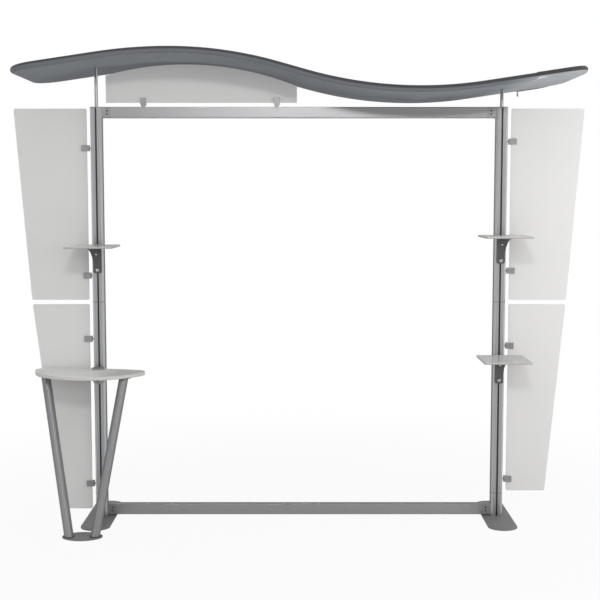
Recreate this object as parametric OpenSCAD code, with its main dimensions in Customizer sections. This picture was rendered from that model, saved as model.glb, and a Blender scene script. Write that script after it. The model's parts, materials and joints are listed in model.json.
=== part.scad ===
// Modular trade show display: two slotted uprights, two crossbars, a wave canopy,
// frosted side panels and header, three height-adjustable shelves and a counter.
// Millimetres, +Z up, front is -Y, origin on the floor under the middle of the whole outline.

/* [Overall frame] */
// distance between the two upright centres
post_span = 2106; // [1700:10:2400]
// height of the top of the uprights above the floor
frame_h = 2168; // [2080:4:2260]
// height of the joint between lower and upper uprights
seam_z = 1154; // [1120:2:1170]
// height of the joint above the base post
stub_z = 133; // [120:1:138]

/* [Upright extrusion] */
// width and depth of the upright
post_w = 60; // [58:1:64]
// flat cut across each corner of the upright
post_chamfer = 9; // [6:0.5:11]
// width of the slot mouth
slot_mouth = 9; // [8.6:0.1:10]
// thickness of the lips beside the slot mouth
slot_lip = 4; // [3:0.5:5]
// width of the cavity behind the lips
slot_cavity_w = 18; // [17:0.5:19]
// depth of the cavity behind the lips
slot_cavity_d = 8; // [7.5:0.25:9]
// diameter of the centre bore
post_bore_d = 22; // [18:0.5:23]
// side of the square corner chambers
chamber_w = 9; // [8.6:0.2:10]
// distance of the chamber centres from the upright centre lines
chamber_at = 18.5; // [18:0.25:19]
// length of the bars joining upright sections
joiner_len = 160; // [80:5:200]
// width of the bars joining upright sections
joiner_w = 8.4; // [7:0.1:8.6]

/* [Feet] */
// width of a foot plate
foot_w = 150; // [120:2:180]
// length of a foot plate from front to back
foot_len = 570; // [500:2:640]
// thickness of a foot plate
foot_t = 8; // [6:0.5:10]
// how much the radius of the curved ends exceeds half the width of a foot plate
foot_bulge = 2; // [1:1:60]
// radius of the rounded corners of a foot plate
foot_corner_r = 14; // [6:1:20]
// diameter of the foot bolts
foot_bolt_d = 8; // [6:0.5:8]
// length of the foot bolts
foot_bolt_len = 40; // [25:1:60]

/* [Crossbars] */
// height of a crossbar
bar_h = 57; // [52:1:60]
// depth of a crossbar from front to back
bar_d = 40; // [38:1:46]
// wall thickness of a crossbar
bar_wall = 2.6; // [2:0.2:4]
// rounding of the crossbar edges
bar_edge_r = 3; // [1:0.5:5]
// underside of the bottom crossbar above the floor
bar_floor_z = 14; // [10:1:30]
// length of the cast block at each end of a crossbar
end_block_len = 47; // [44:1:60]
// length of the plug of an end block inside the crossbar
end_plug_len = 30; // [15:1:60]
// length of the bar joining the two halves of a crossbar
bar_joiner_len = 240; // [120:10:300]

/* [Crossbar locks] */
// distance of the lock screws from the upright face
lock_x = 27; // [24:0.5:30]
// spacing of the two lock screws of one crossbar end
lock_pitch = 16; // [15:0.5:18]
// diameter of a lock screw
lock_d = 9; // [8:0.25:10]
// depth of a lock screw head below the crossbar face
lock_recess = 1.2; // [0.5:0.1:2]
// length of a lock screw
lock_len = 14; // [12:0.5:14.5]
// across-flats size of the key sockets in the lock screws
lock_key = 4; // [3:0.5:5]
// radial clearance of turning screws in their holes
turn_gap = 0.05; // [0.02:0.01:0.1]

/* [Canopy] */
// length of the canopy between its outer side edges
canopy_len = 2880; // [2700:10:3000]
// depth of the canopy from front to back
canopy_d = 710; // [640:10:780]
// height of the top of the crest above the top of the uprights
canopy_rise = 271; // [240:1:350]
// drop from the crest to the trough
wave_drop = 190; // [175:1:200]
// position of the crest along the display
crest_x = -640; // [-660:2:-600]
// bend radius of the crest towards the outer end
crest_end_r = 2400; // [2200:20:2600]
// bend radius of the crest towards the middle
crest_mid_r = 1980; // [1800:10:2060]
// bend radius of the trough
trough_r = 2120; // [1900:10:2200]
// slope of the straight ends in degrees
end_slope = 8.5; // [8:0.1:9]
// slope of the straight middle in degrees
mid_slope = 15.6; // [15.2:0.1:16.2]
// diameter of the canopy edge tubes
edge_tube_d = 30; // [28:0.5:32]
// diameter of the canopy cross tubes
cross_tube_d = 20; // [18:0.5:22]
// wall thickness of the canopy tubes
canopy_tube_wall = 1.6; // [1.2:0.1:2.4]
// bend radius of the tube at the four corners
corner_bend_r = 120; // [60:2:140]
// thickness of the fabric cover
cover_t = 1.4; // [1:0.1:1.8]
// clearance between the fabric cover and the edge tubes
cover_gap = 0.6; // [0.5:0.1:0.9]
// length of the sewn seam bands across the cover
seam_len = 12; // [8:1:20]
// length of the sleeves where the edge tubes join
sleeve_len = 40; // [20:2:60]

/* [Canopy posts] */
// diameter of a canopy post
mast_d = 17; // [16:0.25:18]
// wall thickness of a canopy post
mast_wall = 2; // [1.5:0.1:2.5]
// length of a canopy post inside the upright
mast_in = 120; // [60:5:200]
// width of the slot across the top of a canopy post
fork_slot = 5.6; // [5:0.1:6]
// length of the slot down a canopy post
fork_len = 60; // [40:2:70]
// thickness of the cap on each upright
cap_t = 4; // [3:0.5:6]
// length of the cap plug inside the upright
cap_plug = 30; // [15:1:50]
// width of a saddle along the canopy
saddle_w = 24; // [22:0.5:26]
// depth of a saddle
saddle_d = 44; // [36:1:60]

/* [Header panel] */
// distance of the left edge from the middle of the display
header_left = 1003; // [950:1:1012]
// distance of the right edge from the middle of the display
header_right = 11; // [5:1:60]
// height of the lower edge above the top crossbar
header_lift = 22; // [16:1:30]
// height of the left edge
header_h_left = 140; // [110:1:142]
// height of the right edge
header_h_right = 85; // [60:1:88]
// radius of the arched upper edge
header_arch_r = 1550; // [1500:10:1900]
// thickness of the acrylic panels
panel_t = 6; // [4:0.5:7]
// positions of the two header clamps from the middle of the display
header_clamps_at = [809, 116];
// width of a header clamp at the top
header_clamp_w = 30; // [24:1:36]
// height of a header clamp
header_clamp_h = 46; // [36:1:56]

/* [Side wings] */
// gap between an upright and the inner edge of a wing
wing_gap = 22; // [18:1:26]
// distance of the upper outer corner of the upper wings from the middle
wing_top_x = 1484; // [1400:2:1520]
// distance of the outer edge of the wings from the middle at the seam
wing_seam_x = 1404; // [1360:2:1420]
// distance of the lower outer corner of the right lower wing
wing_low_x_right = 1310; // [1260:2:1340]
// distance of the lower outer corner of the left lower wing
wing_low_x_left = 1268; // [1240:2:1340]
// distance of the top of the upper wings below the top of the uprights
wing_drop = 8; // [4:1:40]
// height of the lower edge of the upper wings
wing_mid_z = 1163; // [1156:1:1180]
// height of the upper edge of the lower wings
wing_low_top_z = 1140; // [1120:1:1150]
// height of the lower edge of the right lower wing
wing_low_z_right = 140; // [110:2:200]
// height of the lower edge of the left lower wing
wing_low_z_left = 42; // [30:2:140]
// rounding of the wing corners
wing_corner_r = 9; // [4:1:20]
// length of the neck between an upright and a wing clamp
clamp_neck = 9; // [5:0.5:12]
// reach of a wing clamp out from the upright
clamp_len = 50; // [44:1:58]
// height of a wing clamp
clamp_h = 31; // [24:1:38]
// depth of a wing clamp
clamp_d = 22; // [18:1:26]
// clearance of the panels in the clamp slits
slit_gap = 0.2; // [0.1:0.05:0.4]
// clamp heights on the left side from top to bottom
clamps_left = [1956, 1291, 956, 179];
// clamp heights on the right side from top to bottom
clamps_right = [1990, 1317, 920, 204];

/* [Shelves] */
// width of a shelf
shelf_w = 240; // [200:2:280]
// depth of a shelf from front to back
shelf_d = 290; // [240:2:320]
// thickness of a shelf
shelf_t = 10; // [8:0.5:12]
// gap between the upright and the back edge of a shelf
shelf_gap = 4; // [2:0.5:8]
// rounding of the shelf corners
shelf_corner_r = 6; // [3:0.5:12]
// underside height of the upper left shelf
shelf_z_left = 1446; // [1300:2:1600]
// underside height of the upper right shelf
shelf_z_right = 1496; // [1400:2:1600]
// underside height of the lower right shelf
shelf_z_low = 864; // [700:2:900]

/* [Shelf brackets] */
// height of a shelf bracket
bracket_h = 140; // [130:1:160]
// width of a shelf bracket at the foot
bracket_foot_w = 43; // [40:1:46]
// width of a shelf bracket under the shelf
bracket_top_w = 79; // [74:1:90]
// height of the front lip of a shelf bracket
bracket_lip = 8; // [6:0.5:12]
// reach of a shelf bracket in front of the upright
bracket_reach = 125; // [110:1:135]
// thickness of the clamping pad of a bracket
pad_t = 14; // [12:0.5:16]
// height of the clamping pad of a bracket
pad_h = 38; // [34:1:42]
// radius of the rounded corners at the foot of a bracket
bracket_foot_r = 9; // [4:0.5:12]
// radius of the hollow front face of a bracket
face_r = 105; // [90:1:200]
// wall thickness of a bracket casting
bracket_wall = 5; // [4:0.5:6]
// radius of the hollow curve of the bracket flanks
flank_r = 260; // [230:5:400]
// height of the clamp screw above the foot of the bracket
knob_z = 18; // [16:0.5:20]
// diameter of the clamp screw head
knob_d = 20; // [17:0.5:24]
// height of the clamp screw head
knob_h = 8; // [6:0.5:10]
// diameter of the clamp screw shank
knob_shank_d = 8; // [7:0.25:8.4]
// across-flats size of the key socket in the clamp screw
knob_key = 8; // [6:0.5:10]
// height of the small screw on the sloping face above the foot of the bracket
slope_screw_z = 101; // [80:1:110]
// diameter of the small screw head
slope_screw_d = 10; // [8:0.5:12]
// sideways distance of the shelf screws from the bracket centre
screw_spread = 14; // [10:1:18]
// distances of the two shelf screws in front of the upright
screw_out = [52, 100];

/* [Counter] */
// turn of the counter about its hub in degrees, left end to the back
counter_turn = 8.5; // [0:0.1:9]
// distance of the counter centre from the hub, outwards
counter_shift = 30; // [0:1:60]
// gap between the upright and the back edge of the counter
counter_gap = 6; // [5:0.5:12]
// height of the counter surface
counter_top_z = 803; // [780:1:830]
// thickness of the counter top
counter_t = 18; // [12:0.5:22]
// half the width of the counter top
counter_half_w = 293; // [280:1:310]
// reach of the counter behind its widest line
counter_back = 73; // [66:1:80]
// reach of the counter in front of its widest line
counter_front = 236; // [225:1:260]
// radius of the rounded ends of the counter
counter_end_r = 50; // [40:1:60]
// diameter of a counter leg
leg_d = 47; // [40:0.5:48]
// wall thickness of a counter leg
leg_wall = 2; // [1.5:0.1:3]
// distance of the leg tops from the counter centre line
leg_top_x = 208; // [180:1:210]
// distance of the leg tops in front of the widest line of the counter
leg_top_y = 86; // [70:1:90]
// distance of the leg feet from the middle of the counter base
leg_foot_x = 66; // [60:1:68]
// distance of the leg feet in front of the middle of the counter base
leg_foot_y = 10; // [0:1:12]
// distance of the middle of the counter base from the middle of the display
base_x = 1088; // [1060:1:1110]
// distance of the middle of the counter base in front of the upright centre
base_y = 392; // [375:1:420]
// width of the counter base
base_w = 202; // [198:1:230]
// depth of the counter base
base_d = 142; // [140:1:180]
// radius of the rounded ends of the counter base
base_end_r = 50; // [46:1:60]
// thickness of the counter base
base_t = 7; // [5:0.5:10]
// diameter of the counter hub
hub_d = 62; // [58:1:64]
// height of the counter hub
hub_h = 57; // [52:1:80]
// diameter of the washer on the counter
washer_d = 66; // [64:1:70]
// thickness of the washer on the counter
washer_t = 8; // [4:0.5:10]

/* [Zip] */
// distance of the zip pull from the middle of the display
zip_x = 1196; // [1150:2:1230]
// length of the zip pull tab
zip_tab_len = 26; // [18:1:34]

/* [Colours] */
// anodised aluminium
col_alu = [0.70, 0.71, 0.72];
// grey canopy fabric
col_fabric = [0.42, 0.44, 0.46];
// frosted acrylic
col_frost = [0.84, 0.84, 0.83];
// gunmetal castings
col_gun = [0.29, 0.29, 0.30];
// grey painted steel
col_steel = [0.42, 0.43, 0.44];
// bright screws
col_bright = [0.85, 0.86, 0.88];

/* [Hidden] */
$fn = 64;
sides = [-1, 1];
post_x = post_span / 2;
post_face = post_w / 2;
slot_deep = slot_lip + slot_cavity_d;
fit = 0.2;
post_top = frame_h - cap_t;
bar_top_z = frame_h - bar_h;
bar_half = post_x - post_face;
bar_slot_d = 10;
bar_slot_lip = 3;
bar_slot_w = 16;
chamber_y = bar_d - 2 * bar_wall;
chamber_z = bar_h - 2 * (bar_slot_d + bar_wall);
lock_y = -bar_d / 2 + lock_recess;
hook_y = [lock_y + lock_len + 0.4, 9];
hook_h = 12;
cam_pin_d = 3;
cam_throw = 2;
edge_r = edge_tube_d / 2;
cover_in = edge_r + cover_gap;
cover_out = cover_in + cover_t;
seam_rise = 0.4;
sleeve_rise = 0.2;
plug_len = 6;
wave_crest_z = frame_h + canopy_rise - cover_out;
line_y = canopy_d / 2 - cover_out;
end_line_x = canopy_len / 2 - cover_out;
mid_len = (wave_drop - (crest_mid_r + trough_r) * (1 - cos(mid_slope))) / sin(mid_slope);
crest_out_x = crest_x + crest_mid_r * sin(mid_slope);
trough_x = crest_out_x + mid_len * cos(mid_slope) + trough_r * sin(mid_slope);
wave_trough_z = wave_crest_z - wave_drop;
crest_in_x = crest_x - crest_end_r * sin(end_slope);
trough_in_x = trough_x - trough_r * sin(mid_slope);
trough_out_x = trough_x + trough_r * sin(end_slope);
left_start_z = wave_crest_z - crest_end_r * (1 - cos(end_slope));
right_start_z = wave_trough_z + trough_r * (1 - cos(end_slope));
left_run = (crest_in_x + end_line_x - corner_bend_r * cos(end_slope)) / cos(end_slope);
right_run = (end_line_x - corner_bend_r * cos(end_slope) - trough_out_x) / cos(end_slope);
cross_at = [-post_x, crest_x, 0, trough_x, post_x];
saddle_h = edge_tube_d - 6;
tongue_t = fork_slot - 0.4;
header_z = frame_h + header_lift;
wing_top_z = frame_h - wing_drop;
shelf_back = post_face + shelf_gap;
knob_y = post_face + pad_t;
nut_w = slot_cavity_w - 1;
nut_t = 6.5;
nut_h = 30;
counter_y = post_face + counter_gap + counter_back;
counter_under = counter_top_z - counter_t;
hub_y = post_face + washer_d / 2 + 0.5;
hub_bolt_z = 22;
hub_bolt_deep = 28;
hub_cone_h = 14;
hub_z = counter_under - hub_h;
flange_d = 78;
flange_t = 4;
flange_screw_r = 31;
foot_disc_d = 56;
plug_in = 30;
zip_z = wave_z(zip_x) - cover_out - 1;
rod_turn = 90;
slope_screw_l = 14;
head_gap = 0.3;
sunk_h = 2.4;
sunk_d = 11;
face_run = bracket_reach - pad_t;
face_rise = bracket_h - bracket_lip - pad_h;
face_chord = norm([face_run, face_rise]);
face_c = [pad_t + face_run / 2, pad_h + face_rise / 2]
  + [face_rise, -face_run] / face_chord * sqrt(pow(face_r, 2) - pow(face_chord / 2, 2));
plane_y = (base_y + base_d / 2 - canopy_d / 2 - seam_rise) / 2;

// colours a piece and moves it back, so that the origin is under the middle of the whole outline
module tinted(colour) {
  translate([0, plane_y, 0])
    color(colour) children();
}

// Outline helpers

// points of an arc about a centre
function arc_pts(c, r, a0, a1, n) =
  [for (i = [0:n]) let (a = a0 + (a1 - a0) * i / n) [c[0] + r * cos(a), c[1] + r * sin(a)]];

function unit(v) = v / norm(v);

// points that round one corner b between neighbours a and c
function corner_pts(a, b, c, r, n) =
  let (u = unit(a - b), w = unit(c - b), half = acos(u * w) / 2,
    m = b + unit(u + w) * r / sin(half),
    p = b + u * r / tan(half), q = b + w * r / tan(half),
    a0 = atan2(p[1] - m[1], p[0] - m[0]), a1 = atan2(q[1] - m[1], q[0] - m[0]),
    turn = (a1 - a0 > 180) ? a1 - 360 : (a1 - a0 < -180) ? a1 + 360 : a1)
  arc_pts(m, r, a0, turn, n);

module rounded_poly(pts, r) {
  k = len(pts);
  polygon([for (i = [0:k - 1])
    for (p = corner_pts(pts[(i + k - 1) % k], pts[i], pts[(i + 1) % k], r, 6)) p]);
}

module rounded_rect(w, h, r) {
  square([w - 2 * r, h], center = true);
  square([w, h - 2 * r], center = true);
  for (x = sides, y = sides)
    translate([x * (w / 2 - r), y * (h / 2 - r)]) circle(r);
}

module at_side(side) {
  translate([side * post_x, 0, 0]) children();
}

// draws an outline given in x and z as a plate of thickness t centred on y = 0
module upright_plate(t) {
  rotate([90, 0, 0])
    linear_extrude(t, center = true) children();
}

module hex_socket(flats, deep) {
  linear_extrude(deep) circle(d = flats / cos(30), $fn = 6);
}

// straight round bar between two points
module rod(p, q, r) {
  v = q - p;
  translate(p)
    rotate([0, acos(v[2] / norm(v)), atan2(v[1], v[0])])
      rotate(rod_turn) cylinder(h = norm(v), r = r);
}

// Uprights

module post_outline() {
  c = post_face - post_chamfer;
  polygon([[c, -post_face], [post_face, -c], [post_face, c], [c, post_face],
    [-c, post_face], [-post_face, c], [-post_face, -c], [-c, -post_face]]);
}

module slot_outline() {
  translate([-slot_mouth / 2, post_face - slot_deep]) square([slot_mouth, slot_deep + 1]);
  translate([-slot_cavity_w / 2, post_face - slot_deep]) square([slot_cavity_w, slot_cavity_d]);
}

module post_profile() {
  difference() {
    post_outline();
    for (a = [0:90:270])
      rotate(a) slot_outline();
    circle(d = post_bore_d);
    for (x = sides, y = sides)
      translate([x * chamber_at, y * chamber_at]) square(chamber_w, center = true);
  }
}

module post_length(side, z0, z1) {
  tinted(col_alu)
    at_side(side)
      translate([0, 0, z0])
        linear_extrude(z1 - z0) post_profile();
}

module base_post_left() { post_length(-1, foot_t, stub_z); }
module base_post_right() { post_length(1, foot_t, stub_z); }
module lower_post_left() { post_length(-1, stub_z, seam_z); }
module lower_post_right() { post_length(1, stub_z, seam_z); }
module upper_post_left() { post_length(-1, seam_z, post_top); }
module upper_post_right() { post_length(1, seam_z, post_top); }

// square bars in two opposite corner chambers across each joint
module post_joiners() {
  tinted(col_bright)
    for (side = sides, z = [stub_z, seam_z], k = sides)
      at_side(side)
        translate([k * chamber_at, k * chamber_at, z + (z == stub_z ? 20 : 0)])
          cube([joiner_w, joiner_w, joiner_len], center = true);
}

// end cap with a plug that guides the canopy post
module post_caps() {
  tinted(col_steel)
    for (side = sides)
      at_side(side)
        difference() {
          union() {
            translate([0, 0, post_top]) linear_extrude(cap_t) post_outline();
            translate([0, 0, post_top - cap_plug])
              cylinder(h = cap_plug + 1, d = post_bore_d - 2 * fit);
          }
          translate([0, 0, post_top - cap_plug - 1])
            cylinder(h = cap_plug + cap_t + 2, d = mast_d + fit);
        }
}

// Feet

module foot_outline() {
  side_x = foot_w / 2;
  foot_end_r = side_x + foot_bulge;
  mid = foot_len / 2 - foot_end_r;
  edge = foot_corner_r;
  lean = asin((side_x - edge) / (foot_end_r - edge));
  corner_y = mid + (foot_end_r - edge) * cos(lean);
  front = arc_pts([0, -mid], foot_end_r, 270 - lean, 270 + lean, 16);
  front_r = arc_pts([side_x - edge, -corner_y], edge, 270 + lean, 360, 6);
  back_r = arc_pts([side_x - edge, corner_y], edge, 0, 90 - lean, 6);
  back = arc_pts([0, mid], foot_end_r, 90 - lean, 90 + lean, 16);
  back_l = arc_pts([edge - side_x, corner_y], edge, 90 + lean, 180, 6);
  front_l = arc_pts([edge - side_x, -corner_y], edge, 180, 270 - lean, 6);
  polygon(concat(front, front_r, back_r, back, back_l, front_l));
}

module foot_plate(side) {
  tinted(col_steel)
    at_side(side)
      difference() {
        linear_extrude(foot_t) foot_outline();
        for (k = sides)
          translate([k * chamber_at, -k * chamber_at, -1]) {
            cylinder(h = foot_t + 2, d = foot_bolt_d + 2 * fit);
            cylinder(h = foot_t / 2 + 1, d = 2 * foot_bolt_d);
          }
      }
}

module foot_plate_left() { foot_plate(-1); }
module foot_plate_right() { foot_plate(1); }

// flat-head bolts up into the two free corner chambers of each base post
module foot_bolts() {
  tinted(col_bright)
    for (side = sides, k = sides)
      at_side(side)
        translate([k * chamber_at, -k * chamber_at, 0])
          difference() {
            union() {
              translate([0, 0, 0.6]) cylinder(h = foot_t / 2 - 0.6, d = 2 * foot_bolt_d - 2 * fit);
              translate([0, 0, 1]) cylinder(h = foot_bolt_len, d = foot_bolt_d);
            }
            hex_socket(foot_bolt_d * 0.6, foot_t / 2);
          }
}

// Crossbars

module bar_profile() {
  difference() {
    rounded_rect(bar_d, bar_h, bar_edge_r);
    square([chamber_y, chamber_z], center = true);
    for (s = sides)
      mirror([0, s > 0 ? 0 : 1]) {
        translate([-slot_mouth / 2, bar_h / 2 - bar_slot_d]) square([slot_mouth, bar_slot_d + 1]);
        translate([-bar_slot_w / 2, bar_h / 2 - bar_slot_d])
          square([bar_slot_w, bar_slot_d - bar_slot_lip]);
      }
  }
}

// runs a profile drawn in y and z along x
module along_x(x0, x1) {
  translate([x0, 0, 0])
    rotate([90, 0, 90])
      linear_extrude(x1 - x0) children();
}

module bar_length(x0, x1, z) {
  tinted(col_alu)
    translate([0, 0, z + bar_h / 2])
      along_x(x0, x1) bar_profile();
}

module top_bar_left() { bar_length(end_block_len - bar_half, 0, bar_top_z); }
module top_bar_right() { bar_length(0, bar_half - end_block_len, bar_top_z); }
module bottom_bar_left() { bar_length(end_block_len - bar_half, 0, bar_floor_z); }
module bottom_bar_right() { bar_length(0, bar_half - end_block_len, bar_floor_z); }

module bar_joiners() {
  tinted(col_bright)
    for (z = [bar_top_z, bar_floor_z])
      translate([0, 0, z + bar_h / 2])
        along_x(-bar_joiner_len / 2, bar_joiner_len / 2)
          square([chamber_y - 2 * fit, chamber_z - 2 * fit], center = true);
}

// places something at one crossbar end, drawn for the right end with x = 0 at the upright face
module at_bar_end(side, z) {
  translate([side * bar_half, 0, z + bar_h / 2])
    mirror([side > 0 ? 0 : 1, 0, 0]) children();
}

module end_block() {
  difference() {
    union() {
      along_x(-end_block_len, 0) rounded_rect(bar_d, bar_h, bar_edge_r);
      along_x(-end_block_len - end_plug_len, 1 - end_block_len)
        square([chamber_y - 2 * fit, chamber_z - 2 * fit], center = true);
    }
    for (k = sides)
      translate([-lock_x, 0, k * lock_pitch / 2]) {
        rotate([90, 0, 0])
          translate([0, 0, -lock_y - lock_len - 0.4])
            cylinder(h = bar_d / 2 + lock_len, r = lock_d / 2 + turn_gap);
        translate([-12, hook_y[0] - fit, -hook_h / 2 - fit])
          cube([lock_x + 13, hook_y[1] + 2 * fit, hook_h + 2 * fit]);
      }
  }
}

module bar_end_blocks() {
  tinted(col_steel)
    for (side = sides, z = [bar_top_z, bar_floor_z])
      at_bar_end(side, z) end_block();
}

// hook that reaches through the slot mouth of the upright and holds behind its lips
module lock_hook() {
  reach = slot_lip + 5;
  difference() {
    union() {
      translate([-lock_x - 10, hook_y[0], -hook_h / 2])
        cube([lock_x + 10, hook_y[1], hook_h]);
      translate([-1, -slot_mouth / 2 + 0.6, -hook_h / 2])
        cube([reach + 1, slot_mouth - 1.2, hook_h]);
      translate([slot_lip + 0.3, -slot_cavity_w / 2 + 1.5, -hook_h / 2])
        cube([4.7, slot_cavity_w - 3, hook_h]);
    }
    translate([-lock_x, 0, 0])
      rotate([90, 0, 0])
        cylinder(h = 60, r = cam_throw + cam_pin_d / 2 + 0.4, center = true);
  }
}

module lock_hooks() {
  tinted(col_bright)
    for (side = sides, z = [bar_top_z, bar_floor_z], k = sides)
      at_bar_end(side, z)
        translate([0, 0, k * lock_pitch / 2]) lock_hook();
}

// turning lock screw with a key socket in front and a cam pin behind
module lock_screw(side, z, k) {
  tinted(col_gun)
    at_bar_end(side, z)
      translate([-lock_x, lock_y, k * lock_pitch / 2])
        rotate([-90, 0, 0])
          difference() {
            union() {
              cylinder(h = lock_len, d = lock_d);
              translate([-cam_throw, 0, lock_len - 1]) cylinder(h = 7, d = cam_pin_d);
            }
            translate([0, 0, -1]) hex_socket(lock_key, 5);
          }
}

module lock_top_left_upper() { lock_screw(-1, bar_top_z, 1); }
module lock_top_left_lower() { lock_screw(-1, bar_top_z, -1); }
module lock_top_right_upper() { lock_screw(1, bar_top_z, 1); }
module lock_top_right_lower() { lock_screw(1, bar_top_z, -1); }
module lock_bottom_left_upper() { lock_screw(-1, bar_floor_z, 1); }
module lock_bottom_left_lower() { lock_screw(-1, bar_floor_z, -1); }
module lock_bottom_right_upper() { lock_screw(1, bar_floor_z, 1); }
module lock_bottom_right_lower() { lock_screw(1, bar_floor_z, -1); }

// Canopy

// height of the canopy centre surface at a position along the display
function wave_z(x) =
  x < crest_in_x ? left_start_z - (crest_in_x - x) * tan(end_slope) :
  x < crest_x ? wave_crest_z - crest_end_r + sqrt(pow(crest_end_r, 2) - pow(x - crest_x, 2)) :
  x < crest_out_x ? wave_crest_z - crest_mid_r + sqrt(pow(crest_mid_r, 2) - pow(x - crest_x, 2)) :
  x < crest_out_x + mid_len * cos(mid_slope) ?
    wave_crest_z - crest_mid_r * (1 - cos(mid_slope)) - (x - crest_out_x) * tan(mid_slope) :
  x < trough_out_x ? wave_trough_z + trough_r - sqrt(pow(trough_r, 2) - pow(x - trough_x, 2)) :
  right_start_z + (x - trough_out_x) * tan(end_slope);

// arc of the wave: sweeps a section drawn with x towards the outside of the bend and y along depth
module wave_arc(x, z, r, a0, a1, trim) {
  cut = trim / r * 180 / PI;
  translate([x, 0, z])
    rotate([90, 0, 0])
      rotate([0, 0, a0 + cut])
        rotate_extrude(angle = a1 - a0 - 2 * cut, $fn = 720)
          translate([r, 0]) children();
}

// straight stretch of the wave from a point, sloping down by an angle towards +x
module wave_line(x, z, slope, run, trim = 0) {
  translate([x, 0, z])
    rotate([0, slope, 0])
      translate([trim, 0, 0])
        rotate([90, 0, 90])
          linear_extrude(run - 2 * trim) rotate(90) children();
}

// the whole wave except its two ends, for a section drawn as (thickness, depth);
// trim shortens every stretch at both ends
module wave_run(trim = 0) {
  wave_line(crest_in_x - left_run * cos(end_slope), left_start_z - left_run * sin(end_slope),
    -end_slope, left_run, trim) children();
  wave_arc(crest_x, wave_crest_z - crest_end_r, crest_end_r, 90, 90 + end_slope, trim) children();
  wave_arc(crest_x, wave_crest_z - crest_mid_r, crest_mid_r, 90 - mid_slope, 90, trim) children();
  wave_line(crest_out_x, wave_z(crest_out_x), mid_slope, mid_len, trim) children();
  wave_arc(trough_x, wave_trough_z + trough_r, trough_r, 270 - mid_slope, 270 + end_slope, trim)
    children();
  wave_line(trough_out_x, right_start_z, -end_slope, right_run, trim) children();
}

// short straight stretches across the places where the stretches of the wave meet,
// of length len along the wave and end_len at its two ends
module wave_joints(len, end_len) {
  for (j = [[crest_in_x, -end_slope, len], [crest_x, 0, len], [crest_out_x, mid_slope, len],
      [trough_in_x, mid_slope, len], [trough_out_x, -end_slope, len],
      [end_joint_x(-1), -end_slope, end_len], [end_joint_x(1), -end_slope, end_len]])
    wave_line(j[0] - j[2] / 2 * cos(j[1]), wave_z(j[0]) + j[2] / 2 * sin(j[1]), j[1], j[2])
      children();
}

function end_joint_x(side) =
  side < 0 ? crest_in_x - left_run * cos(end_slope) : trough_out_x + right_run * cos(end_slope);

// places something at a canopy end, drawn with x outwards from the last straight section
module at_wave_end(side) {
  run = side < 0 ? left_run : right_run;
  x0 = side < 0 ? crest_in_x : trough_out_x;
  z0 = side < 0 ? left_start_z : right_start_z;
  dz = side < 0 ? -1 : 1;
  translate([x0 + side * run * cos(end_slope), 0, z0 + dz * run * sin(end_slope)])
    mirror([side < 0 ? 1 : 0, 0, 0])
      rotate([0, side < 0 ? end_slope : -end_slope, 0]) children();
}

// tube of radius r along the edge of one canopy end
module end_tube(r) {
  for (s = sides)
    mirror([0, s > 0 ? 0 : 1, 0])
      translate([0, line_y - corner_bend_r, 0])
        rotate_extrude(angle = 90, $fn = 96)
          translate([corner_bend_r, 0]) circle(r);
  translate([corner_bend_r, 0, 0])
    rotate([90, 0, 0])
      cylinder(h = 2 * (line_y - corner_bend_r), r = r, center = true);
}

// tube of radius r all round the canopy edge
module edge_loop(r, trim = 0) {
  for (s = sides)
    wave_run(trim) translate([0, s * line_y]) circle(r);
  for (side = sides)
    at_wave_end(side) end_tube(r);
}

// section of the canopy with half thickness r
module pillow_section(r) {
  square([2 * r, 2 * line_y], center = true);
  for (s = sides)
    translate([0, s * line_y]) circle(r);
}

// pillow of half thickness r that follows the canopy
module pillow(r) {
  wave_run() pillow_section(r);
  for (side = sides)
    at_wave_end(side) {
      end_tube(r);
      linear_extrude(2 * r, center = true) {
        translate([0, corner_bend_r - line_y])
          square([corner_bend_r, 2 * (line_y - corner_bend_r)]);
        for (s = sides)
          intersection() {
            translate([0, s * (line_y - corner_bend_r)]) circle(corner_bend_r, $fn = 96);
            translate([0, -line_y]) square([canopy_d, 2 * line_y]);
          }
      }
    }
}

// edge tubes joined by sleeves, with cross tubes between the long sides
module canopy_frame() {
  tinted(col_alu)
    difference() {
      union() {
        edge_loop(edge_r);
        for (s = sides)
          wave_joints(sleeve_len, plug_len) translate([0, s * line_y]) circle(edge_r + sleeve_rise);
        for (x = cross_at)
          translate([x, 0, wave_z(x)])
            rotate([90, 0, 0])
              cylinder(h = 2 * line_y, d = cross_tube_d, center = true);
      }
      edge_loop(edge_r - canopy_tube_wall, plug_len);
      for (x = cross_at)
        translate([x, 0, wave_z(x)])
          rotate([90, 0, 0])
            cylinder(h = 2 * line_y - 2 * edge_r, d = cross_tube_d - 2 * canopy_tube_wall,
              center = true);
    }
}

// fabric sleeve pulled over the tube frame, with a slit for each canopy post
module canopy_cover() {
  tinted(col_fabric)
    difference() {
      union() {
        pillow(cover_out);
        wave_joints(seam_len, seam_len) pillow_section(cover_out + seam_rise);
      }
      pillow(cover_in);
      wave_joints(1, 1) pillow_section(cover_in + seam_rise);
      for (side = sides)
        translate([side * post_x, 0, wave_z(side * post_x) - cover_out])
          cylinder(h = 16, d = mast_d + 3, center = true);
    }
}

// saddle that grips a cross tube inside the cover, with a tongue down into the post
module canopy_saddles() {
  tinted(col_gun)
    for (side = sides)
      translate([side * post_x, 0, wave_z(side * post_x)])
        difference() {
          union() {
            cube([saddle_w, saddle_d, saddle_h], center = true);
            translate([-tongue_t / 2, 1 - mast_d / 2, -saddle_h / 2 - fork_len + 2])
              cube([tongue_t, mast_d - 2, fork_len - 1]);
          }
          rotate([90, 0, 0])
            cylinder(h = saddle_d + 2, r = cross_tube_d / 2 + fit / 2, center = true);
        }
}

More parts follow.
